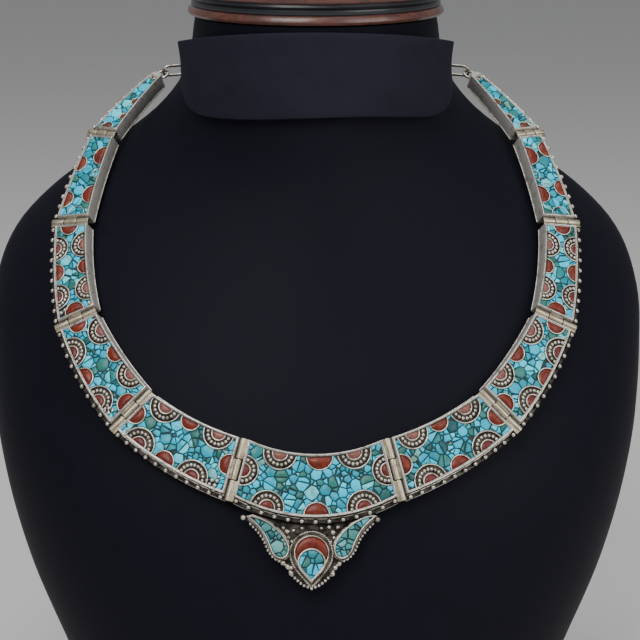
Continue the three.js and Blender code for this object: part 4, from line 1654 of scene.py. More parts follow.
@dataclass
class BoxPlaque:
    """One inlaid silver box with its hinges' knuckles."""

    tag: str
    number: int
    place: Matrix
    patterns: Patterns
    rim_wire: float = 0.29
    bead: float = 0.84
    bead_step: float = 4.2
    bead_seat: float = 1.15
    medallion_granule: float = 0.66
    medallion_step: float = 1.36
    bezel_wire: float = 0.25
    pin: float = 0.5
    bed_top: float = -0.42
    bed_depth: float = 0.8

    @property
    def plaque(self) -> Plaque:
        """The plaque's outline."""
        return PLAQUES[self.number]

    @property
    def motifs(self) -> list[Motif]:
        """The half discs at their places on this plaque's side."""
        return [motif.on_side(self.tag.startswith("l")) for motif in self.plaque.motifs]

    def tray(self) -> bpy.types.Object:
        """The box: a grid on the face's outline, extruded up, inset and sunk."""
        piece = mapped_grid(36, 8, lambda along, up: (*self.plaque.point(along, 1 - up), -CASE_DEPTH))
        with editing(piece):
            raise_region(CASE_DEPTH)
            bpy.ops.mesh.inset(thickness=WALL)
            raise_region(-RECESS_DEPTH)
            face_outwards()
            soften_edges(0.09)
        return smooth(paint(piece, SILVER_WALL))

    def outer_strip(self, reach: tuple[float, float], levels: tuple[float, float]) -> bpy.types.Object:
        """A dark strip along the outer wall.

        Args:
            reach: how far its inner and outer sides lie outside the face.
            levels: its bottom and top.

        Returns:
            The strip.
        """
        start, end = (self.plaque.edge(False, HINGE_ROOM + 0.04, -side) for side in reach)

        def place(along: float, up: float) -> tuple[float, ...]:
            """A point of its underside."""
            return (*start.at(along)[0].lerp(end.at(along)[0], 1 - up), levels[0])

        piece = mapped_grid(36, 2, place)
        with editing(piece):
            raise_region(levels[1] - levels[0])
            face_outwards()
            soften_edges(0.12)
        return smooth(paint(piece, OXIDE))

    def rims(self) -> bpy.types.Object:
        """The wires: round the face, along the walls and round every half disc."""
        steps = 36
        top = [Vector((*point, 0.02)) for point in self.plaque.outline(HINGE_ROOM + 0.3, 0.3, steps)]
        lines = []
        for inner, inset, level in (
            (True, -0.05, 0.25 - CASE_DEPTH),
            (False, -0.35, 0.1 - LEDGE_DROP),
            (False, 0.1 - LEDGE_WIDTH, 0.25 - CASE_DEPTH),
        ):
            edge = self.plaque.edge(inner, HINGE_ROOM + 0.2, inset)
            lines.append([Vector((*edge.at(step / steps)[0], level)) for step in range(steps + 1)])
        half_circles = []
        for motif in self.motifs:
            place, way = self.plaque.seat(motif)
            half_circles.append(arc_path(place, way, motif.radius - self.bezel_wire, 0.04))
            if motif.kind is M:
                half_circles.append(arc_path(place, way, CORE_SHARE * motif.radius, 0.0))
        parts = [
            wires("face_rim", [top], self.rim_wire, closed=True),
            wires("wall_wires", lines, 0.26),
            wires("half_circles", half_circles, self.bezel_wire),
        ]
        for part in parts:
            paint(part, SILVER)
        return merged(parts, "rims")

    def medallions(self) -> list[bpy.types.Object]:
        """The dark grounds of the medallions and their half rings of granules."""
        grounds, granules = [], []
        for motif in self.motifs:
            if motif.kind is not M:
                continue
            place, way = self.plaque.seat(motif)
            size = motif.radius - 0.3
            grounds.append(seat_frame(place, way, -0.4) @ Matrix.Diagonal((size, size, 1.0, 1.0)))
            ring = ((1 + CORE_SHARE) * motif.radius - 2 * self.bezel_wire) / 2 + 0.06
            count = round(math.pi * ring / self.medallion_step)
            for step in range(count):
                angle = way + math.pi * ((step + 0.5) / count - 0.5)
                spot = Vector((place.x + ring * math.cos(angle), place.y + ring * math.sin(angle), -0.12))
                granules.append(Matrix.Translation(spot) @ Matrix.Scale(self.medallion_granule, 4))
        if not grounds:
            return []
        ground = paint(self.patterns.half_drum.set_at("grounds", grounds), GROUND)
        balls = smooth(paint(self.patterns.granule.set_at("granules", granules), SILVER), 60.0)
        return [ground, balls]

    def outer_wall(self) -> list[bpy.types.Object]:
        """The dark outer wall, its ledge, and the beads that stand on it."""
        edge = self.plaque.edge(False, HINGE_ROOM + 1.2, -self.bead_seat)
        count = round((edge.end - edge.start).length / self.bead_step)
        spots = []
        for step in range(count + 1):
            flat = edge.at(step / count)[0]
            spots.append(Matrix.Translation((flat.x, flat.y, 0.85 - LEDGE_DROP)) @ Matrix.Scale(self.bead, 4))
        for x, y, radius in CORNER_GRANULES.get(self.tag, ()):
            spots.append(Matrix.Translation((x, y, 0.3)) @ Matrix.Scale(radius, 4))
        balls = smooth(paint(self.patterns.granule.set_at("beads", spots), SILVER), 60.0)
        wall = self.outer_strip((-0.3, 0.07), (-CASE_DEPTH + 0.1, -0.35))
        ledge = self.outer_strip((-0.2, LEDGE_WIDTH), (-CASE_DEPTH, -LEDGE_DROP))
        return [wall, ledge, balls]

    def knuckles(self) -> list[bpy.types.Object]:
        """The barrels and leaves of this plaque's hinges."""
        barrels, leaves = [], []
        ends = [(False, self.number == 0)]
        if not self.plaque.is_tip:
            ends.append((True, True))
        reach = HINGE_ROOM + 0.3
        for at_far, is_outer in ends:
            width = self.plaque.reach(at_far)[0]
            folded = PLAQUES[self.number + 1] if at_far or self.number == 0 else self.plaque
            axis = self.plaque.hinge(at_far, folded.fold)
            length = (width - (BARRELS - 1) * FIT) / BARRELS
            middle = -reach / 2 if at_far else reach / 2
            for offset in (length + FIT, -length - FIT) if is_outer else (0.0,):
                barrels.append(axis @ block((0.0, offset, 0.25), (KNUCKLE_RADIUS, length, 1.05)))
                leaves.append(axis @ block((middle, offset, 0.35), (reach, length, 1.1)))
            if is_outer:
                barrels.append(axis @ block((0.0, 0.0, 0.0), (self.pin, width - 0.4, self.pin)))
        return [
            smooth(paint(self.patterns.knuckle.set_at("barrels", barrels), BRASS)),
            smooth(paint(self.patterns.leaf.set_at("leaves", leaves), BRASS_DARK)),
        ]

    def tip(self) -> bpy.types.Object:
        """The solid round end of the last plaque."""
        inner, outer = self.plaque.far
        place = self.plaque.far_end(0.0)
        width, middle = inner + outer, (inner - outer) / 2
        start = -HINGE_ROOM - 0.05
        upper = place @ block((start, middle, 0.1), (TIP_ROUND, width / 2, LEDGE_DROP + 0.2))
        width, middle = self.plaque.reach(True)
        lower = place @ block((start, middle, -LEDGE_DROP), (TIP_ROUND, width / 2, CASE_DEPTH - LEDGE_DROP))
        return smooth(paint(self.patterns.half_drum.set_at("tip", [upper, lower]), SILVER_WALL))

    def eye(self) -> bpy.types.Object:
        """The ring at the far end of the last plaque."""
        ring = self.plaque.eye() @ Matrix.Scale(EYE_RADIUS, 4)
        return smooth(paint(self.patterns.ring.set_at("eye", [ring]), SILVER), 60.0)

    def inlay(self) -> bpy.types.Object:
        """The turquoise chips on their dark cement."""
        room = HINGE_ROOM + WALL

        def place(along: float, up: float) -> tuple[float, ...]:
            """A point of the bed."""
            return (*self.plaque.point(along, 1 - up, room, WALL), self.bed_top)

        bed = mapped_grid(48, 14, place)
        with editing(bed):
            raise_region(-self.bed_depth)
            face_outwards()
        outline = self.plaque.outline(room + 0.08, WALL + 0.08, 40)
        filled = [motif for motif in self.motifs if motif.kind is not T]
        holes = [(self.plaque.seat(motif)[0], motif.radius + 0.06) for motif in filled]
        holes += [(Vector((x, y)), 1.2 * radius) for x, y, radius in CORNER_GRANULES.get(self.tag, ())]
        seed = 40 + self.number + (100 if self.tag.startswith("l") else 0)
        chips = Mosaic(outline, holes, seed).build("chips")
        return merged([chips, paint(bed, CEMENT)], f"inlaid_chips_{self.tag}")

    def stones(self) -> None:
        """The coral half discs: large ones as pieces of their own, those of the medallions together."""
        small: dict[Coral, list[Matrix]] = {}
        for motif in self.motifs:
            place, way = self.plaque.seat(motif)
            if motif.kind is M:
                size = CORE_SHARE * motif.radius - 0.2
                finish = CORAL_PINK if motif.edge is INNER else CORAL_DARK
                matrix = seat_frame(place, way, -0.45) @ block((0.0, 0.0, 0.0), (size, size, 0.8))
                small.setdefault(finish, []).append(matrix)
            if motif.kind is S:
                size = motif.radius - 0.4
                finish = CORAL_BROWN if self.plaque.is_tip else CORAL_RED
                matrix = seat_frame(place, way, -0.5) @ block((0.0, 0.0, 0.0), (size, size, 0.95))
                small.setdefault(finish, []).append(matrix)
            if motif.kind is C:
                size = motif.radius - 0.42
                matrix = seat_frame(place, way, -0.6) @ block((0.12, 0.0, 0.0), (size, size, 1.15))
                ending = f"{self.tag}_{motif.edge.value}"
                piece = self.patterns.half_dome.set_at(f"coral_stone_{ending}", [matrix])
                put(smooth(paint(piece, CORAL_RED), 50.0), self.place)
                register(piece, "coral", f"coral_{ending}")
        parts = []
        for finish, places in small.items():
            parts.append(smooth(paint(self.patterns.half_dome.set_at("small_corals", places), finish), 50.0))
        if parts:
            register(put(merged(parts, f"small_corals_{self.tag}"), self.place), "coral")

    def build(self) -> None:
        """Builds and registers the whole plaque."""
        parts = [self.tray(), self.rims(), *self.medallions(), *self.outer_wall(), *self.knuckles()]
        if self.plaque.is_tip:
            parts += [self.tip(), self.eye()]
        box = put(merged(parts, f"silver_box_{self.tag}"), self.place)
        register(box, "silver", f"case_{self.tag}")
        chips = put(self.inlay(), self.place)
        register(chips, "turquoise", f"inlay_{self.tag}")
        self.stones()
        sizes = len(box.data.polygons), len(chips.data.polygons)
        LOG.info("plaque %s: %d faces in the box, %d in the inlay", self.tag, *sizes)


# Pendant


@dataclass
class Pendant:
    """The openwork pendant: a dark plate with two leaf collets, a drop and its granules."""

    patterns: Patterns
    drop_centre: float = -21.9
    drop_radius: float = 6.6
    drop_point: float = -32.4
    tear_centre: float = -25.0
    tear_radius: float = 4.6
    tear_point: float = -31.3
    rim_profile: Spots = (
        (0.0, PLATE_FRONT - 0.2), (0.0, -3.3), (-0.12, -2.9), (-0.75, -1.95), (-0.95, COLLET_TOP),
        (-1.2, -1.95), (-1.25, -3.6))
    tear_profile: Spots = ((0.0, PLATE_FRONT), (0.0, COLLET_TOP), (-0.5, COLLET_TOP), (-0.5, -3.2))
    plate_bevel: float = 0.15
    crescent_drop: float = 1.4
    crescent_edge: float = -2.25
    crescent_crown: float = 0.85
    flank: Spots = (
        (22.0, -10.6), (20.0, -12.4), (18.6, -13.8), (17.3, -15.3), (16.1, -17.0), (15.2, -18.9),
        (14.4, -20.8), (13.2, -22.6), (11.5, -24.0), (9.2, -24.9), (7.7, -26.7), (6.8, -28.6),
        (4.9, -30.5), (2.8, -32.3), (0.0, -33.4))
    flank_granule: float = 0.58
    flank_count: int = 24
    flank_start: float = 1.1
    corner_granule: float = 1.05
    corners: Spots = ((-22.6, -10.0), (21.8, -10.7))
    cluster_growth: float = 1.28
    clusters: tuple[tuple[float, float, float], ...] = (
        (-8.1, -14.7, 0.8), (-6.0, -14.3, 0.6), (-9.4, -13.5, 0.55), (-7.6, -16.7, 0.6), (-6.6, -18.0, 0.5),
        (7.1, -15.0, 0.8), (5.7, -13.2, 0.65), (8.7, -13.3, 0.6), (7.4, -16.8, 0.6), (6.4, -18.2, 0.5),
        (-9.4, -25.0, 0.75), (-7.9, -26.2, 0.7), (-6.7, -26.6, 0.6), (-6.7, -28.4, 0.75),
        (9.1, -25.2, 0.75), (7.8, -26.6, 0.7), (6.9, -28.6, 0.75), (-3.2, -13.6, 0.5), (3.2, -13.6, 0.5))
    rings: Spots = (
        (-4.6, -14.6), (-2.0, -13.4), (2.0, -13.4), (4.4, -14.9), (0.0, -13.0), (-11.4, -12.1),
        (11.2, -12.0), (-7.4, -19.9), (7.3, -19.8))

    def frame(self) -> Matrix:
        """From the pendant's own axis, in millimetres, to the frame, in metres."""
        return collar_frame() @ Matrix.Translation((PENDANT_SHIFT, 0.0, 0.0))

    def wing(self, growth: float = 0.0) -> list[Vector]:
        """The outline of the right leaf.

        Args:
            growth: how far it is moved outwards.

        Returns:
            Its points, anticlockwise.
        """
        points = bezier((20.7, -9.9), (14.5, -10.2), (7.5, -17.0), (7.8, -20.8), 20)
        points += bezier((7.8, -20.8), (8.1, -24.0), (11.3, -24.2), (12.9, -21.2), 12)
        points += bezier((12.9, -21.2), (14.0, -18.2), (15.4, -13.6), (20.7, -9.9), 20)
        return grown(points, growth)

    @staticmethod
    def drop(centre: float, radius: float, point: float, growth: float = 0.0) -> list[Vector]:
        """A drop with its round end up.

        Args:
            centre: the height of its round end's middle.
            radius: the round end's radius.
            point: the height of its point.
            growth: how far it is moved outwards.

        Returns:
            Its points, anticlockwise.
        """
        high, low = 0.4 * point + 0.6 * centre, 0.75 * point + 0.25 * centre
        points = bezier((0.0, point), (0.3 * radius, low), (radius, high), (radius, centre))
        for step in range(36):
            angle = math.pi * step / 36
            points.append(Vector((radius * math.cos(angle), centre + radius * math.sin(angle))))
        points += bezier((-radius, centre), (-radius, high), (-0.3 * radius, low), (0.0, point))
        return grown(points, growth)

    def plate(self) -> bpy.types.Object:
        """The dark plate behind the stones."""
        outer = PLAQUES[0].edge(False, HINGE_ROOM, -0.4 - LEDGE_WIDTH)
        points = []
        for step in range(17):
            flat = outer.at(0.14 + 0.72 * step / 16)[0]
            points.append(Vector((flat.x - PLAQUES[0].length / 2 - PENDANT_SHIFT, flat.y + HINGE_RISE)))
        right = [Vector(point) for point in self.flank]
        points += right
        points += [Vector((-point.x, point.y)) for point in reversed(right[:-1])]
        points.reverse()
        rings = [
            at_level(points, PLATE_BACK), at_level(points, PLATE_FRONT - self.plate_bevel),
            at_level(grown(points, -self.plate_bevel), PLATE_FRONT)]
        return smooth(paint(skin("pendant_plate", rings), OXIDE))

    def wing_collet(self, side: int) -> bpy.types.Object:
        """The wall and wires of one leaf.

        Args:
            side: 1 for the right one, -1 for the left one.

        Returns:
            The piece.
        """
        outer, inner = self.wing(0.5), self.wing(-0.05)
        rings = [
            at_level(outer, PLATE_FRONT - 0.2), at_level(outer, COLLET_TOP),
            at_level(inner, COLLET_TOP), at_level(inner, -3.4)]
        wall = smooth(paint(skin("leaf_wall", rings), COLLET))
        top = self.wire(self.wing(0.22), COLLET_TOP + 0.05, 0.3)
        foot = self.wire(self.wing(0.75), PLATE_FRONT + 0.15, 0.26)
        return put(merged([wall, top, foot], "leaf"), Matrix.Scale(side, 4, (1, 0, 0)))

    @staticmethod
    def wire(line: list[Vector], level: float, radius: float) -> bpy.types.Object:
        """A closed silver wire along a flat line, at a level."""
        return paint(wires("collet_wire", [at_level(line, level)], radius, closed=True), SILVER)

    def drop_collet(self) -> list[bpy.types.Object]:
        """The sloped rim of the drop, and the wall and wire of the tear in it."""
        big = partial(self.drop, self.drop_centre, self.drop_radius, self.drop_point)
        small = partial(self.drop, self.tear_centre, self.tear_radius, self.tear_point)
        rim = [at_level(big(growth), level) for growth, level in self.rim_profile]
        wall = [at_level(small(growth), level) for growth, level in self.tear_profile]
        rope = twisted(at_level(big(0.45), PLATE_FRONT + 0.45), 0.26, 1.7)
        return [
            smooth(paint(skin("drop_rim", rim), COLLET), 50.0),
            smooth(paint(skin("tear_wall", wall), SILVER_WALL)),
            paint(wires("drop_rope", rope, 0.25), SILVER),
            self.wire(big(-1.0), COLLET_TOP + 0.02, 0.2),
            self.wire(small(-0.2), COLLET_TOP + 0.08, 0.34),
        ]

    def crescent(self) -> bpy.types.Object:
        """The domed coral crescent between the drop's rim and the tear."""
        def place(along: float, across: float) -> Vector:
            """A point of its top.

            Args:
                along: its share along, from 0 to 1.
                across: its share across, from 0 to 1.

            Returns:
                The point.
            """
            outer = turned(self.drop_radius - 1.2, 0.0, math.radians(204 - 228 * along))
            inner = turned(self.tear_radius - 0.02, 0.0, math.radians(174 - 168 * along))
            outer.y += self.drop_centre
            inner.y += self.tear_centre
            ends = min(1.0, 4 * along, 4 * (1 - along))
            crown = math.sqrt(max(0.0, 4 * across * (1 - across) * ends))
            return Vector((*inner.lerp(outer, across), self.crescent_edge + self.crescent_crown * crown))

        piece = mapped_grid(44, 12, place)
        with editing(piece):
            raise_region(-self.crescent_drop)
            face_outwards()
        piece.name = "coral_crescent"
        return smooth(paint(piece, CORAL_RED), 50.0)

    def chips(
        self, name: str, outline: list[Vector], seed: int, size: float, crown: float, finish: TurquoiseChips,
    ) -> bpy.types.Object:
        """Chips on their cement in a collet.

        Args:
            name: the piece's name.
            outline: the collet's inner outline.
            seed: for the scatter.
            size: the chips' size.
            crown: how much the middle rises.
            finish: the chips' finish.

        Returns:
            The piece.
        """
        top = COLLET_TOP - 0.05
        mosaic = Mosaic(
            grown(outline, -0.1), [], seed, size, joint=0.3, bottom=top - 0.8, top=top, crown=crown,
            finish=finish)
        bed = skin("bed", [at_level(outline, top - 1.3), at_level(outline, top - 0.34)])
        return merged([mosaic.build("chips"), paint(bed, CEMENT)], name)

    def granules(self) -> list[bpy.types.Object]:
        """The granules along the flanks, at the corners and in clusters, and small rings between them."""
        level = PLATE_FRONT + 0.35
        spots = [(x, y, self.corner_granule) for x, y in self.corners]
        flank = Track([Vector(point) for point in self.flank])
        for step in range(1, self.flank_count + 1):
            reach = self.flank_start + (flank.length - self.flank_start) * step / self.flank_count
            point = flank.at(reach)[0]
            for side in ((1, -1) if step < self.flank_count else (1,)):
                spots.append((side * point.x, point.y, self.flank_granule))
        spots += [(x, y, radius * self.cluster_growth) for x, y, radius in self.clusters]
        places = [Matrix.Translation((x, y, level)) @ Matrix.Scale(radius, 4) for x, y, radius in spots]
        loops = [Matrix.Translation((x, y, level - 0.1)) for x, y in self.rings]
        return [
            smooth(paint(self.patterns.granule.set_at("pendant_granules", places), SILVER), 60.0),
            smooth(paint(self.patterns.ring.set_at("pendant_rings", loops), OXIDE), 60.0),
        ]

    def build(self) -> None:
        """Builds and registers the pendant."""
        wings = [self.wing_collet(side) for side in (1, -1)]
        parts = [self.plate(), *wings, *self.drop_collet(), *self.granules()]
        register(put(merged(parts, "silver_pendant"), self.frame()), "silver", "pendant_setting")
        register(put(self.crescent(), self.frame()), "coral", "pendant_coral")
        tear = self.drop(self.tear_centre, self.tear_radius, self.tear_point, -0.5)
        piece = self.chips("tear_chips", tear, 7, 1.0, 0.1, TURQUOISE)
        register(put(piece, self.frame()), "turquoise", "pendant_drop")
        for letter, side in (("r", 1), ("l", -1)):
            piece = self.chips(f"leaf_chips_{letter}", self.wing(-0.08), 20 + side, 0.95, 0.3, TURQUOISE_MUTED)
            mirror = Matrix.Scale(side, 4, (1, 0, 0))
            register(put(piece, self.frame() @ mirror), "turquoise", f"pendant_wing_{letter}")
        LOG.info("pendant built")


# Bust


@dataclass(frozen=True)
class Section:
    """A level section of the bust, in millimetres from the centre plaque's level and depth."""

    level: float
    half: float
    front: float
    widest: float
    power: float
    back: float


SECTIONS = (
    Section(-118, 73.5, -17.4, 46, 2.05, 91),
    Section(-80, 90.5, -12.9, 60.4, 2.05, 100),
    Section(-45, 106.5, -7.0, 73.7, 2.2, 110),
    Section(-10, 117.3, 2.6, 87.7, 2.23, 120),
    Section(20, 121.6, 16.4, 99.5, 2.05, 128),
    Section(45, 121.2, 29.3, 107.9, 1.8, 134),
    Section(65, 113.0, 38.6, 113.1, 1.6, 138),
    Section(80, 98.6, 43.9, 114.5, 1.47, 140),
    Section(95, 78.0, 47.6, 112.7, 1.44, 140),
    Section(110, 58.8, 49.5, 107.2, 1.59, 139.5),
    Section(125, 47.7, 49.9, 97.5, 1.9, 139),
    Section(145, 43.4, 49.3, 93.9, 2.03, 138),
)


@dataclass
class Bust:
    """The padded neck bust with its flap and wooden cap."""

    back_power: float = 2.2
    base_round: float = 3.0
    shrink: float = 0.25
    seam: float = 0.01
    row_growth: float = 1.15
    columns: int = 128
    rows: int = 84
    cap_depth: float = 93.8
    cap_level: float = 145.3
    cap_profile: tuple[tuple[float, float], ...] = (
        (0.0, 0.0), (43.8, 0.0), (45.2, 0.4), (45.8, 1.3), (45.6, 2.6), (44.9, 3.3), (44.2, 3.5), (44.6, 4.3),
        (44.4, 5.2), (44.0, 5.5), (44.7, 6.3), (44.2, 7.1), (44.9, 7.7), (45.3, 8.8), (45.2, 11.6),
        (44.0, 13.9), (41.6, 15.9), (36.0, 17.6), (22.0, 19.4), (0.0, 20.1))
    flap_angle: float = 68.0
    flap_top: float = 143.5
    flap_bottom: float = 113.3
    flap_thickness: float = 1.5
    flap_cut: tuple[float, float] = (0.123, 0.030)
    fill: float = 1.0

    def section(self, level: float) -> dict[str, float]:
        """The section at any level, smooth between those of the table.

        Args:
            level: the height from the centre plaque.

        Returns:
            Its values by name.
        """
        index = next((place for place, row in enumerate(SECTIONS) if row.level >= level), len(SECTIONS) - 1)
        index = max(index, 1)
        low, high = SECTIONS[index - 1], SECTIONS[index]
        before = SECTIONS[max(index - 2, 0)]
        after = SECTIONS[min(index + 1, len(SECTIONS) - 1)]
        gap = high.level - low.level
        share = (level - low.level) / gap
        values = {}
        for name in ("half", "front", "widest", "power", "back"):
            a, b = getattr(low, name), getattr(high, name)
            middle = (b - a) / gap
            start, end = middle, middle
            if before is not low:
                start = ((a - getattr(before, name)) / (low.level - before.level) + middle) / 2
            if after is not high:
                end = ((getattr(after, name) - b) / (after.level - high.level) + middle) / 2
            s2, s3 = share ** 2, share ** 3
            values[name] = ((2 * s3 - 3 * s2 + 1) * a + (s3 - 2 * s2 + share) * gap * start
                            + (3 * s2 - 2 * s3) * b + (s3 - s2) * gap * end)
        return values

    def point(self, level: float, angle: float, offset: float = 0.0) -> Vector:
        """A point on the bust.

        Args:
            level: its height from the centre plaque.
            angle: from straight ahead, in radians.
            offset: how far clear of the surface.

        Returns:
            The point in millimetres, from the centre plaque's level and depth.
        """
        row = self.section(level)
        is_front = math.cos(angle) >= 0
        deep = row["widest"] - row["front"] if is_front else row["back"] - row["widest"]
        power = row["power"] if is_front else self.back_power
        across = abs(math.sin(angle)) / row["half"]
        away = abs(math.cos(angle)) / deep
        reach = (across ** power + away ** power) ** (-1 / power) + offset
        return Vector((reach * math.sin(angle), row["widest"] - reach * math.cos(angle), level))

    def frame(self) -> Matrix:
        """From the centre plaque's level and depth, in millimetres, to the frame, in metres."""
        return Matrix.Scale(MM, 4) @ Matrix.Translation((0.0, CENTRE_DEPTH, CENTRE_HEIGHT))

    def body(self) -> bpy.types.Object:
        """The padded body: a grid wrapped round the sections, its seam merged and its ends closed."""
        bottom, top = SECTIONS[0].level, SECTIONS[-1].level

        def place(along: float, up: float) -> Vector:
            """A point of the body.

            Args:
                along: its share along, from 0 to 1.
                up: its share upwards, from 0 to 1.

            Returns:
                The point.
            """
            level = bottom + up ** self.row_growth * (top - bottom)
            rise = min(1.0, (level - bottom) / self.base_round)
            tuck = self.base_round * (1 - math.sqrt(max(0.0, 1 - (1 - rise) ** 2)))
            return self.point(level, 2 * math.pi * along, -self.shrink - tuck)

        piece = mapped_grid(self.columns, self.rows, place)
        with editing(piece, "VERT"):
            close_up(self.seam)
        piece.name = "bust_form"
        return smooth(paint(piece, LEATHERETTE), 50.0)

    def flap(self) -> bpy.types.Object:
        """The flap of the covering on the neck: a grid laid on it, thickened, its edge softened."""
        def place(along: float, up: float) -> Vector:
            """A point of the flap.

            Args:
                along: its share along, from 0 to 1.
                up: its share upwards, from 0 to 1.

            Returns:
                The point.
            """
            side = 2 * along - 1
            down = 1 - up
            corner = 11.0 * max(0.0, (abs(side) - 0.6) / 0.4) ** 2.4
            wave = 1.2 * math.cos(math.pi * side) + 0.6 * math.sin(5.3 * side + 0.6) + corner
            top = self.flap_top - 6.0 * side ** 2
            level = top + (self.flap_bottom + wave - top) * down
            ripple = 0.3 * math.sin(9.0 * side) * down ** 2
            middle, end = 0.5 + 2.3 * down, 6.5 - 3.7 * down
            lift = middle + (end - middle) * side ** 2 + ripple + self.flap_thickness / 2 - 0.2
            return self.point(level, math.radians(self.flap_angle) * side, lift)

        piece = mapped_grid(72, 14, place)
        with editing(piece):
            face_outwards()
        modifier = piece.modifiers.new("thickness", "SOLIDIFY")
        modifier.thickness = self.flap_thickness
        modifier.offset = 0.0
        pick(piece)
        bpy.ops.object.modifier_apply(modifier="thickness")
        with editing(piece):
            soften_edges(0.3, 60.0)
        piece.name = "neck_flap_leather"
        # The flap's leatherette is the body's, painted lighter as painted light
        return smooth(paint(piece, FLAP_LEATHERETTE_PAINTED_LIGHT), 50.0)

    def cap(self) -> bpy.types.Object:
        """The wooden cap, its profile spun about the neck's axis."""
        mesh = bpy.data.meshes.new("cap_profile")
        points = [(radius, 0.0, height) for radius, height in self.cap_profile]
        mesh.from_pydata(points, [(step, step + 1) for step in range(len(points) - 1)], [])
        piece = bpy.data.objects.new("turned_cap", mesh)
        bpy.context.scene.collection.objects.link(piece)
        with editing(piece, "EDGE"):
            bpy.ops.mesh.spin(steps=96, angle=2 * math.pi, center=(0, 0, 0), axis=(0, 0, 1))
            bpy.ops.mesh.select_all(action="SELECT")
            bpy.ops.mesh.remove_doubles(threshold=self.seam)
            face_outwards()
        piece.data.transform(Matrix.Translation((0.0, self.cap_depth, self.cap_level)))
        return smooth(paint(piece, WOOD), 40.0)

    def build(self) -> None:
        """Builds and registers the bust."""
        for piece, slot, node in (
            (self.body(), "leatherette", "bust_body"),
            (self.flap(), "leatherette", "neck_flap"),
            (self.cap(), "wood", "neck_cap"),
        ):
            put(piece, self.frame())
            register(piece, slot, node)
            node == "neck_flap"
            node == "bust_body"
            LOG.info("%s: %d faces", piece.name, len(piece.data.polygons))


# Chain behind the neck


def loop_path(length: float, width: float, wire: float, steps: int = 12) -> list[Vector]:
    """The middle line of a long round-ended link.

    Args:
        length: its length outside.
        width: its width outside.
        wire: its wire's radius.
        steps: parts of each round end.

    Returns:
        Its points, along x.
    """
    radius = width / 2 - wire
    straight = length / 2 - wire - radius
    points = []
    for end in (1, -1):
        for step in range(steps + 1):
            angle = math.pi * (step / steps - 0.5)
            along = straight + radius * math.cos(angle)
            points.append(Vector((end * along, end * radius * math.sin(angle), 0.0)))
    return points


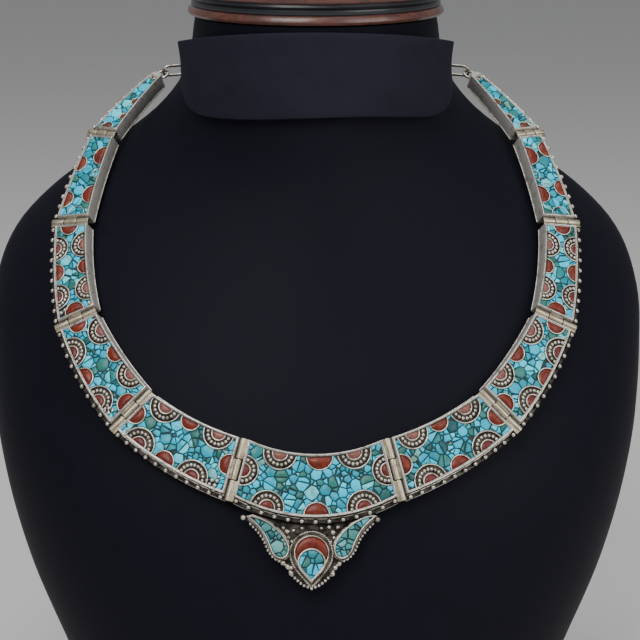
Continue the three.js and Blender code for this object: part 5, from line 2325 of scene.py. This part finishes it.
@dataclass
class BackChain:
    """The plain cable chains from the last plaques' eyes to the hook behind the neck."""

    bust: Bust

    def eye_frame(self) -> Matrix:
        """The frame of the right eye's middle, in millimetres from the centre plaque's level and depth."""
        return self.bust.frame().inverted() @ plaque_frames()["r5"][1] @ PLAQUES[-1].eye()

    def hook_centre(self) -> Vector:
        """The middle of the hook."""
        return self.bust.point(CHAIN_RISE, math.pi, CHAIN_CLEARANCE)

    def route(self, start: Vector) -> list[Vector]:
        """The chain's line round the neck.

        Args:
            start: the far side of the eye.

        Returns:
            Its points, closely spaced.
        """
        first = math.atan2(start.x, self.bust.section(start.z)["widest"] - start.y)
        knots = [start]
        for step in range(1, 6):
            share = step / 6
            level = start.z + (CHAIN_RISE - start.z) * min(1.0, 1.5 * share)
            knots.append(self.bust.point(level, first + (math.pi - first) * share, CHAIN_CLEARANCE))
        end = self.hook_centre()
        end.x = HOOK_LENGTH / 2 - HOOK_WIRE
        knots.append(end)
        knots = [2 * knots[0] - knots[1], *knots, 2 * knots[-1] - knots[-2]]
        points = []
        for index in range(1, len(knots) - 2):
            points += self.span(knots[index - 1:index + 3])
        return [*points, knots[-2]]

    @staticmethod
    def span(knots: list[Vector], steps: int = 24) -> list[Vector]:
        """One span of a centripetal Catmull-Rom curve without its last point.

        Args:
            knots: the four knots round it.
            steps: its parts.

        Returns:
            Its points.
        """
        gaps = [max((b - a).length ** 0.5, 1e-4) for a, b in zip(knots, knots[1:])]
        slopes = []
        for (a, b, c), (before, after) in ((knots[:3], gaps[:2]), (knots[1:], gaps[1:])):
            slopes.append(((b - a) / before - (c - a) / (before + after) + (c - b) / after) * gaps[1])
        points = []
        for step in range(steps):
            t = step / steps
            t2, t3 = t * t, t ** 3
            points.append((2 * t3 - 3 * t2 + 1) * knots[1] + (t3 - 2 * t2 + t) * slopes[0]
                          + (3 * t2 - 2 * t3) * knots[2] + (t3 - t2) * slopes[1])
        return points

    def link_frames(self) -> tuple[list[Matrix], float]:
        """The frames of the right side's links, and a link's length."""
        eye = self.eye_frame()
        line = self.route(eye @ Vector((EYE_RADIUS, 0.0, 0.0)))
        track = Track(line)
        in_eye = 2 * WIRE_RADIUS + FIT
        in_hook = WIRE_RADIUS + HOOK_WIRE + FIT
        bite = 2 * WIRE_RADIUS - LINK_OVERLAP
        pitch = (track.length + in_eye + in_hook + (LINKS_PER_SIDE - 1) * bite) / LINKS_PER_SIDE - bite
        frames = []
        for index in range(LINKS_PER_SIDE):
            reach = min(max((pitch + bite) / 2 - in_eye + index * pitch, 0.0), track.length)
            middle, place = track.at(reach)
            tangent = (line[min(place + 1, len(line) - 1)] - line[max(place - 2, 0)]).normalized()
            across = eye.to_3x3().col[2].normalized() if index == 0 else Vector((0, 0, 1))
            sideways = across.cross(tangent).normalized()
            width = sideways if index % 2 else tangent.cross(sideways)
            basis = Matrix((tangent, width, tangent.cross(width))).transposed().to_4x4()
            frames.append(Matrix.Translation(middle) @ basis)
        return frames, pitch + bite + 2 * WIRE_RADIUS

    def build(self) -> None:
        """Builds and registers both chains and the hook."""
        frames, length = self.link_frames()
        for letter, side in (("r", 1), ("l", -1)):
            links = []
            for place in frames:
                path = loop_path(length, LINK_WIDTH, WIRE_RADIUS)
                links.append([place @ point for point in path])
            chain = paint(wires(f"cable_chain_{letter}", links, WIRE_RADIUS, closed=True), SILVER)
            put(chain, self.bust.frame() @ Matrix.Scale(side, 4, (1, 0, 0)))
            register(chain, "silver", f"chain_{letter}")
        centre = self.hook_centre()
        flat = Matrix.Translation((0.0, centre.y, centre.z)) @ Matrix.Rotation(math.pi / 2, 4, "X")
        path = [flat @ point for point in loop_path(HOOK_LENGTH, HOOK_WIDTH, HOOK_WIRE)]
        hook = paint(wires("plain_hook", [path], HOOK_WIRE, closed=True), SILVER)
        register(put(hook, self.bust.frame()), "silver", "hook_clasp")
        LOG.info("chain: %d links a side, %.1f mm long each", LINKS_PER_SIDE, length)


@dataclass
class Studio:
    """Pale floor, soft lights and the camera at the photograph's angle."""

    distance: float = 0.620
    elevation: float = 15.0
    focal: float = 1878.8
    picture: float = 640.0
    principal: tuple[float, float] = (315.5, 486.0)

    def camera(self) -> None:
        """Sets the camera so that the centre plaque falls on its place in the picture."""
        data = bpy.data.cameras.new("camera")
        data.sensor_width = 36.0
        data.lens = self.focal / self.picture * data.sensor_width
        data.clip_start = 0.01
        tilt = math.radians(self.elevation)
        ahead = Vector((0.0, math.cos(tilt), -math.sin(tilt)))
        above = Vector((0.0, math.sin(tilt), math.cos(tilt)))
        target = Vector((0.0, CENTRE_DEPTH, CENTRE_HEIGHT)) * MM
        scale = self.distance / self.focal
        across = (self.picture / 2 - self.principal[0]) * scale
        raised = (self.principal[1] - self.picture / 2) * scale
        place = target - ahead * self.distance + above * raised + Vector((across, 0.0, 0.0))
        camera = bpy.data.objects.new("camera", data)
        camera.matrix_world = Matrix.Translation(place) @ Matrix.Rotation(math.pi / 2 - tilt, 4, "X")
        bpy.context.scene.collection.objects.link(camera)
        bpy.context.scene.camera = camera

    def light(self, name: str, place: tuple[float, float, float], size: float, power: float) -> None:
        """Adds a soft box that looks at the necklace.

        Args:
            name: the light's name.
            place: where it hangs, in metres.
            size: its side.
            power: in watts.
        """
        data = bpy.data.lights.new(name, "AREA")
        data.shape = "SQUARE"
        data.size = size
        data.energy = power
        lamp = bpy.data.objects.new(name, data)
        aim = Vector((0.0, -0.03, 0.15)) - Vector(place)
        lamp.matrix_world = Matrix.Translation(place) @ aim.to_track_quat("-Z", "Y").to_matrix().to_4x4()
        bpy.context.scene.collection.objects.link(lamp)

    def floor(self) -> None:
        """Adds the pale floor."""
        piece = primitive("plane", size=12.0)
        piece.name = "studio_floor"
        sheet = NodeSheet("pale_floor")
        sheet.dress(Base_Color=(0.62, 0.61, 0.6), Roughness=0.7)
        piece.data.materials.append(sheet.material)

    def build(self) -> None:
        """Builds the studio."""
        self.camera()
        self.floor()
        self.light("key_light", (-0.35, -0.75, 0.95), 0.6, 9.0)
        self.light("fill_light", (0.7, -0.6, 0.6), 0.7, 5.0)
        self.light("top_light", (0.0, 0.1, 1.2), 0.8, 6.0)
        world = bpy.data.worlds.new("studio")
        world.use_nodes = True
        world.node_tree.nodes["Background"].inputs["Color"].default_value = (0.9, 0.92, 0.95, 1.0)
        world.node_tree.nodes["Background"].inputs["Strength"].default_value = 0.35
        bpy.context.scene.world = world


def main() -> None:
    """Builds every piece in order and reports it."""
    logging.basicConfig(level=logging.INFO, format="%(message)s")
    patterns = Patterns()
    Studio().build()
    bust = Bust()
    bust.build()
    Pendant(patterns).build()
    BackChain(bust).build()
    for tag, (number, place) in plaque_frames().items():
        BoxPlaque(tag, number, place, patterns).build()


if __name__ == "__main__":
    main()
